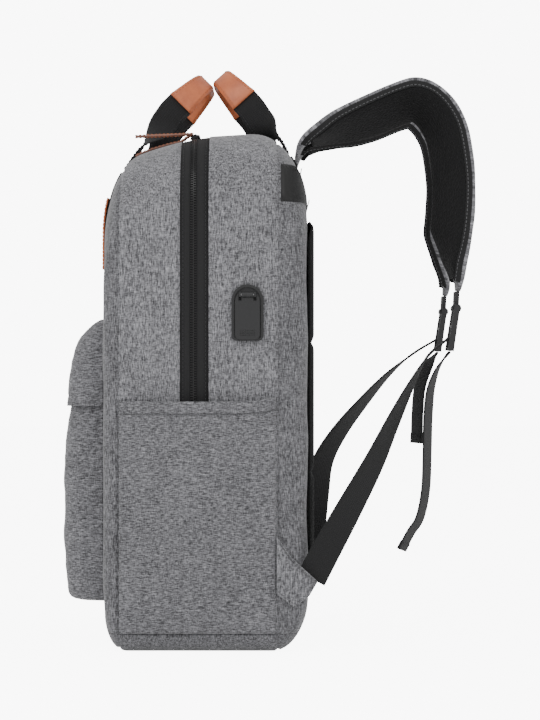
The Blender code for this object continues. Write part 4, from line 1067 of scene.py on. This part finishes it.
# The front loop's ends are sewn down the front panel, each under a stitched leather patch.
ANCHOR_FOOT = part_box("front_handle_anchor_right")[0].z
PATCH_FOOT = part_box("front_handle_patch_right")[0].z
PATCH_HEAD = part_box("front_handle_patch_right")[1].z
FLAT_TOP = HEIGHT - 0.095
front_seat = [(Vector((0, FRONT_Y, ANCHOR_FOOT + (FLAT_TOP - ANCHOR_FOOT) * i / 12)), FORE)
              for i in range(13)]
for i in range(1, 25):
    y = FRONT_Y + 0.0130 * (i / 24) ** 1.6
    front_seat.append((Vector((0, y, top_z(y))), top_normal(y)))
for side, sign in SIDES:
    x = X_AXIS * sign * HANDLE_HALF_SPAN
    path = [p + n * (0.0004 + WEB_THICK / 2) + x for p, n in front_seat]
    anchor = ribbon("front_anchor_" + side, path, -X_AXIS, WEB_WIDTH, WEB_THICK + 0.0006, WEBBING,
                    12)
    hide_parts("front_handle_anchor_" + side)
    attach(anchor, "front_cover")
    near = [p + n * (0.0022 + WEB_THICK / 2 + 0.0008) + x
            for p, n in front_seat if PATCH_FOOT < p.z < PATCH_HEAD]
    patch = ribbon("leather_patch_" + side, near, -X_AXIS, WEB_WIDTH + 0.003, 0.0020, LEATHER, 14)
    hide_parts("front_handle_patch_" + side)
    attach(patch, "front_cover")
    runs = edge_runs(near, -X_AXIS, 0.0022, WEB_WIDTH + 0.003, 0.0009)
    for level in (4, len(near) - 4):
        runs.append([(near[level] + X_AXIS * s * 0.0118 + FORE * 0.0010, FORE) for s in (-1, 0, 1)])
    stitches("patch_stitches_" + side, runs, TAN_THREAD, "front_cover")
    ys = [BACK_Y - 0.0148 + 0.0052 * i / 8 for i in range(9)]
    path = [above_top(y, 0.0004 + WEB_THICK / 2) + x for y in ys]
    anchor = ribbon("rear_anchor_" + side, path, -X_AXIS, WEB_WIDTH, WEB_THICK + 0.0004, WEBBING,
                    12)
    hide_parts("rear_handle_anchor_" + side)
    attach(anchor, "bag")


# ---------------------------------------------------------------- yoke patch and back panel
# A strip of coated cloth covers the seam where the shoulder straps and the rear loop are sewn in.
# Below it the back is a foam panel under black spacer mesh, sewn in channels.
YOKE_FOOT = 0.3775
YOKE_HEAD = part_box("strap_yoke")[1].z - 0.002
YOKE_FORE = REAR_SEAM_Y + 0.0026
bm = shell_mesh()
for point, normal in (((0, YOKE_FORE, 0), FORE), ((0, 0, YOKE_FOOT), DOWN), ((0, 0, YOKE_HEAD), UP)):
    keep_below(bm, point, normal)
bm.normal_update()
for vert in bm.verts:
    edge = min(vert.co.z - YOKE_FOOT, YOKE_HEAD - vert.co.z, vert.co.y - YOKE_FORE)
    vert.co += vert.normal * (0.0005 + 0.0007 * min(max(edge / 0.002, 0.0), 1.0))
yoke = new_piece("yoke_cloth", bm, COATED)
solid_skin(yoke, 0.0014)
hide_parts("strap_yoke")
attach(yoke, "bag")
yoke_runs = []
for z in (YOKE_FOOT + 0.003, YOKE_HEAD - 0.003):
    run = []
    for i in range(81):
        x = -0.118 + 0.236 * i / 80
        y = YOKE_FORE + 0.003
        while top_z(y) > z:
            y += 0.0002
        run.append((Vector((x, y, z)) + top_normal(y) * 0.0016, top_normal(y)))
    yoke_runs.append(run)
stitches("yoke_stitches", yoke_runs, BLACK_THREAD, "bag")

PAD_LOW, PAD_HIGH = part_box("back_pad")
PAD_ROUND = 0.020
PAD_SWELL = 0.0036


def pad_point(s, t):
    """Point of the back panel for s and t from -1 to 1: domed, with sewn channels."""
    half = (PAD_HIGH.x - PAD_LOW.x) / 2
    tall = (PAD_HIGH.z - PAD_LOW.z) / 2
    x, z = s * half, t * tall
    over_x, over_z = abs(x) - (half - PAD_ROUND), abs(z) - (tall - PAD_ROUND)
    if over_x > 0 and over_z > 0 and math.hypot(over_x, over_z) > PAD_ROUND:
        pull = PAD_ROUND / math.hypot(over_x, over_z)
        x = math.copysign(half - PAD_ROUND + over_x * pull, x)
        z = math.copysign(tall - PAD_ROUND + over_z * pull, z)
    edge = min(half - abs(x), tall - abs(z))
    dome = 1 - (1 - min(max(edge, 0.0) / 0.010, 1.0)) ** 2
    channels = max(groove(abs(x) - 0.030, 1.0, 0.006), groove(abs(x) - 0.082, 1.0, 0.006))
    channels = max(channels, groove(z - 0.055, 1.0, 0.006), groove(z + 0.055, 1.0, 0.006))
    swell = PAD_SWELL * dome * (1 - 0.62 * channels)
    return Vector((x, BACK_Y + 0.0018 + swell, (PAD_LOW.z + PAD_HIGH.z) / 2 + z))


rows = [[pad_point(-1 + 2 * i / 120, -1 + 2 * k / 150) for i in range(121)] for k in range(151)]
bm = bmesh.new()
weave_faces(bm, rows)
bmesh.ops.remove_doubles(bm, verts=bm.verts, dist=1e-6)
bmesh.ops.recalc_face_normals(bm, faces=bm.faces)
back_panel = new_piece("back_panel_mesh", bm, MESH)
solid_skin(back_panel, 0.0020)
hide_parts("back_pad")
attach(back_panel, "bag")


# ---------------------------------------------------------------- shoulder straps
# Each strap is curved foam between the bag's heather cloth outside and black spacer mesh inside,
# its edges bound with black tape. It is sewn into the yoke and ends in a webbing loop.
STRAP_HEATHER = heather("strap heather", (1000, 150, 1), (240, 1000, 1), 1.02, True)
STRAP_SHELL = 0.0085
STRAP_DEEP = 0.0140
STRAP_HALF = 0.031
ROOT_X, TIP_X = 0.052, 0.078
STRAP_ROLL = 24
STRAP_RISE = ((-0.0070, -0.0045), (0.0030, 0.0075), (0.0220, 0.0225), (0.0520, 0.0370), (0.0760, 0.0470),
              (0.0920, 0.0508), (0.1075, 0.0476), (0.1205, 0.0390), (0.1318, 0.0250), (0.1398, 0.0075),
              (0.1445, -0.0180), (0.1465, -0.0410), (0.1457, -0.0660), (0.1425, -0.0930), (0.1375, -0.1180),
              (0.1325, -0.1360))


def strap_line():
    root = Vector(JOINTS["shoulder_strap_right_swing"]["pos_m"])
    points = [(0, root.y - 0.0021, root.z + 0.0007)]
    points = points + [(0, BACK_Y + aft, HEIGHT + up) for aft, up in STRAP_RISE]
    return smooth_path(points, 8)


def ease(share):
    share = min(max(share, 0.0), 1.0)
    return share * share * (3 - 2 * share)


def strap_frames(sign):
    """Outer face's centre, inward direction, outer edge's direction, half width and swell along a strap."""
    line = strap_line()
    frames = []
    for i, (point, along) in enumerate(zip(line, directions(line))):
        t = i / (len(line) - 1)
        half = STRAP_HALF * min(1.0, 0.80 + 2.0 * t, 0.50 + 3.6 * (1 - t))
        swell = min(1.0, 0.52 + 3.2 * t, 0.62 + 5.0 * (1 - t))
        roll = math.radians(STRAP_ROLL) * ease((t - 0.06) / 0.20) * ease((1 - t) / 0.16)
        flat_in = Vector((0, along.z, -along.y))
        lateral = X_AXIS * sign * math.cos(roll) - flat_in * math.sin(roll)
        inward = flat_in * math.cos(roll) + X_AXIS * sign * math.sin(roll)
        centre = point + X_AXIS * sign * (ROOT_X + (TIP_X - ROOT_X) * t * t) + flat_in * half * math.sin(roll)
        frames.append((centre, inward, lateral, half, swell))
    return frames


def strap_pad(name, sign, low, high, start, stop, trim, material, count=56):
    bm = bmesh.new()
    uv = bm.loops.layers.uv.new("weave")
    rows = []
    walked = 0.0
    frames = strap_frames(sign)[start:stop]
    for i, (centre, inward, lateral, half, swell) in enumerate(frames):
        walked += (centre - frames[i - 1][0]).length if i else 0.0
        middle = centre + inward * (low + high) / 2 * swell
        deep = (high - low) / 2 * swell
        end = min(min(i, len(frames) - 1 - i) / 5, 1.0)
        wide = (half - trim) * (0.965 + 0.035 * math.sqrt(end))
        deep *= 0.72 + 0.28 * math.sqrt(end)
        ring = []
        for k in range(count):
            turn = 2 * math.pi * k / count
            across = math.copysign(abs(math.cos(turn)) ** 0.42, math.cos(turn))
            up = math.copysign(abs(math.sin(turn)) ** 0.62, math.sin(turn))
            place = middle + lateral * wide * across - inward * deep * up
            soft = noise.noise(Vector((place.x * 30, place.y * 42, place.z * 42))) * 0.0007
            place += (lateral * across * 0.4 - inward * up).normalized() * soft * end
            ring.append((bm.verts.new(place), (wide * across, walked)))
        rows.append(ring)
    for low_ring, high_ring in zip(rows, rows[1:]):
        for k in range(count):
            j = (k + 1) % count
            corners = (low_ring[k], low_ring[j], high_ring[j], high_ring[k])
            face = bm.faces.new([corner[0] for corner in corners])
            for loop, corner in zip(face.loops, corners):
                loop[uv].uv = corner[1]
    for ring in (rows[0], rows[-1]):
        bm.faces.new([corner[0] for corner in ring])
    bmesh.ops.recalc_face_normals(bm, faces=bm.faces)
    return new_piece(name, bm, material)


def strap_binding(name, sign, body):
    """Black tape folded round both edges of a strap, with its row of stitches."""
    runs = []
    for hand in (-1, 1):
        frames = strap_frames(sign)[6:-3]
        path = [centre + inward * 0.0088 * swell + lateral * hand * (half - 0.0001)
                for centre, inward, lateral, half, swell in frames]
        depths = [frame_at[1] for frame_at in frames]
        edges = [frame_at[2] * hand for frame_at in frames]
        way = hand * sign
        tape = ribbon(name + ("_outer" if hand > 0 else "_inner"), path, lambda i: depths[i] * way, 0.0058,
                      0.0014, WEBBING, 8, 0.0003)
        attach(tape, body)
        runs.append([(p + deep_in * 0.0015 + edge * 0.0008, edge)
                     for p, deep_in, edge in zip(path, depths, edges)])
    stitches(name + "_stitches", runs, GREY_THREAD, body)


for side, sign in SIDES:
    body = "shoulder_strap_" + side
    whole = len(strap_line())
    pad = strap_pad("strap_pad_" + side, sign, 0.0, STRAP_SHELL, 0, whole, 0.0, STRAP_HEATHER)
    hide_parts("strap_shell_" + side)
    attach(pad, body)
    inner = strap_pad("strap_lining_" + side, sign, STRAP_SHELL + 0.0002, STRAP_DEEP, 12, whole - 4,
                      0.0010, MESH)
    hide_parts("strap_mesh_" + side)
    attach(inner, body)
    strap_binding("strap_binding_" + side, sign, body)


# ---------------------------------------------------------------- ladder locks and webbing
# A moulded ladder lock hangs in each strap's loop. The lower webbing comes up to it from a cloth
# tab in the bag's lower corner, and its loose end hangs from the lock.
def moulded(name, colour, roughness):
    made = new_material(name, roughness)
    grain = streaks(made, object_coordinates(made), (2600, 2600, 2600), 2.0)
    shader_of(made).inputs["Base Color"].default_value = (*colour, 1)
    bump(made, grain, 0.12, 0.0002)
    return made


PLASTIC = moulded("black plastic", (0.015, 0.015, 0.016), 0.46)
LOOP_CLOTH = black_cloth("webbing loop", (0.017, 0.017, 0.018), 900.0, 0.65, 0.0003)
LOCK_Y, LOCK_Z = BACK_Y + 0.1285, HEIGHT - 0.1505
TAIL_FALL = ((-0.0055, -0.0375), (-0.0110, -0.0445), (-0.0170, -0.0550), (-0.0220, -0.0715),
             (-0.0240, -0.0945), (-0.0247, -0.1215), (-0.0260, -0.1555), (-0.0310, -0.1805),
             (-0.0390, -0.1935), (-0.0470, -0.2085))
TAIL_POINTS = {"right": 10, "left": 6}
TAIL_TURN = 20
LOWER_SHARES = {"right": ((0.0, 0.0, 0.0), (0.018, 0.088, 0.099), (0.179, 0.263, 0.282),
                          (0.428, 0.447, 0.475), (0.677, 0.589, 0.644), (0.868, 0.727, 0.802),
                          (0.978, 0.848, 0.921), (1.0, 1.0, 1.0)),
                "left": ((0.0, 0.0, 0.0), (0.010, 0.050, 0.120), (0.080, 0.085, 0.280),
                         (0.240, 0.130, 0.430), (0.460, 0.250, 0.565), (0.680, 0.430, 0.705),
                         (0.860, 0.630, 0.840), (0.970, 0.820, 0.935), (1.0, 1.0, 1.0))}


def tail_thick(t):
    return WEB_THICK * (1.9 if t > 0.945 else 1.0)


for side, sign in SIDES:
    bevelled("ladder_lock_" + side, 0.0005, PLASTIC)
    bevelled("strap_loop_" + side, 0.0003, LOOP_CLOTH)
    bar = Vector((sign * TIP_X, LOCK_Y, LOCK_Z))
    fall = TAIL_FALL[:TAIL_POINTS[side]]
    path = smooth_path([bar + Vector((0, aft, up)) for aft, up in fall], 8)
    last = len(path) - 1
    ways = directions(path)

    def hung(i, ways=ways, last=last, sign=sign):
        angle = math.radians(TAIL_TURN) * ease(i / last / 0.4)
        return X_AXIS * sign * math.cos(angle) + ways[i].cross(X_AXIS) * math.sin(angle)

    tail = ribbon("webbing_end_" + side, path, hung, WEB_WIDTH, tail_thick, WEBBING, 12)
    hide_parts("webbing_tail_" + side)
    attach(tail, "webbing_tail_" + side)
    hem = round(last * 0.955)
    face = ways[hem].cross(hung(hem)).normalized()
    runs = [[(path[hem] + hung(hem) * s * 0.0105 + face * h * 0.0018, face * h) for s in (-1, 0, 1)]
            for h in (1, -1)]
    stitches("tail_stitches_" + side, runs, BLACK_THREAD, "webbing_tail_" + side)

    start = Vector((HALF_WIDTH - 0.0038, BACK_Y - 0.0100 + WEB_WIDTH / 2, 0.0620))
    span = Vector((TIP_X, LOCK_Y - 0.0063, LOCK_Z - 0.0255)) - start
    knots = [(sign * (start.x + span.x * a), start.y + span.y * b, start.z + span.z * c)
             for a, b, c in LOWER_SHARES[side]]
    path = smooth_path(knots, 9)
    last = len(path) - 1
    ways = directions(path)

    def laid(i, ways=ways, last=last, sign=sign):
        angle = math.pi / 2 * min(max((i / last - 0.06) / 0.80, 0.0), 1.0)
        flat = X_AXIS * sign
        return flat.cross(ways[i]) * math.cos(angle) + flat * math.sin(angle)

    lower = ribbon("lower_web_" + side, path, laid, WEB_WIDTH, WEB_THICK, WEBBING, 12)
    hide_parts("webbing_lower_" + side)
    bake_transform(lower)

    near = TAB_SEAT = HALF_WIDTH - 0.0038 + WEB_THICK / 2 + 0.0003
    corners = [(-0.0265, 0.0980), (-0.0140, 0.0800), (0.0080, 0.0600), (0.0010, 0.0480), (-0.0120, 0.0385),
               (-0.0265, 0.0500)]
    bm = bmesh.new()
    faces = []
    for lift in (0.0, 0.0030):
        ring = []
        for aft, z in corners:
            y = BACK_Y + aft
            x = max(half_width(min(y, BACK_Y)) + 0.0009, near) + lift
            ring.append(bm.verts.new((sign * x, y, z)))
        faces.append(ring)
    bm.faces.new(faces[0][::-1])
    bm.faces.new(faces[1])
    for i in range(6):
        j = (i + 1) % 6
        bm.faces.new((faces[0][i], faces[0][j], faces[1][j], faces[1][i]))
    bmesh.ops.recalc_face_normals(bm, faces=bm.faces)
    flap = new_piece("corner_tab_" + side, bm, UPRIGHT_HEATHER, False)
    soft = flap.modifiers.new("soft edges", "BEVEL")
    soft.width = 0.0012
    soft.segments = 3
    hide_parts("strap_tab_" + side)
    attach(flap, "bag")
    outer = [Vector(v) for v in (((sign * (max(half_width(min(BACK_Y + a, BACK_Y)) + 0.0009, near) + 0.0031)),
                                  BACK_Y + a, z) for a, z in corners)]
    heart = sum(outer, Vector()) / 6
    runs = []
    for inset in (0.10, 0.20):
        ring = [p.lerp(heart, inset) for p in outer]
        runs.append([(p, X_AXIS * sign) for p in ring[0:3]])
    runs.append([(p.lerp(heart, 0.12), X_AXIS * sign) for p in outer[2:6]])
    stitches("tab_stitches_" + side, runs, GREY_THREAD, "bag")


# ---------------------------------------------------------------- charging port
# A moulded plate round a USB socket, riveted through the side to a backing plate. Its cover flips
# up about a steel pin, and rows of small dimples at its lower end give a grip.
STEEL = plain_material("plated steel", (0.60, 0.60, 0.60), 0.28, 1.0)
bevelled("usb_housing", 0.0004, PLASTIC)
bevelled("usb_cover", 0.0004, PLASTIC)
bevelled("usb_backing_plate", 0.0004, PLASTIC)
bevelled("usb_socket", 0.0001, STEEL)
bevelled("usb_hinge_pin", 0.0001, STEEL)
COVER_LOW, COVER_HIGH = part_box("usb_cover")
GRIP_PITCH = 0.0019
bpy.ops.object.select_all(action="DESELECT")
dot_y = (COVER_LOW.y + COVER_HIGH.y) / 2 - 3 * GRIP_PITCH
bpy.ops.mesh.primitive_uv_sphere_add(segments=10, ring_count=6, radius=0.00055,
                                     location=(COVER_LOW.x + 0.0020, dot_y, COVER_LOW.z + 0.0036))
dots = bpy.context.object
dots.name = "cover_grip_dots"
for count, step in ((7, (0, GRIP_PITCH, 0)), (3, (0, 0, GRIP_PITCH))):
    repeat = dots.modifiers.new("repeat", "ARRAY")
    repeat.count = count
    repeat.use_relative_offset = False
    repeat.use_constant_offset = True
    repeat.constant_offset_displace = step
    bpy.ops.object.modifier_apply(modifier=repeat.name)
bpy.ops.object.transform_apply(location=True, rotation=True, scale=True)
bpy.ops.object.shade_smooth()
dots.data.materials.append(PLASTIC)
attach(dots, "usb_cover")


# ---------------------------------------------------------------- inside
# A padded laptop sleeve against the back and a mesh pouch for the power bank, both in grey lining.
for node in ("laptop_sleeve", "power_bank_pocket"):
    bevelled(node, 0.0008, LINING)
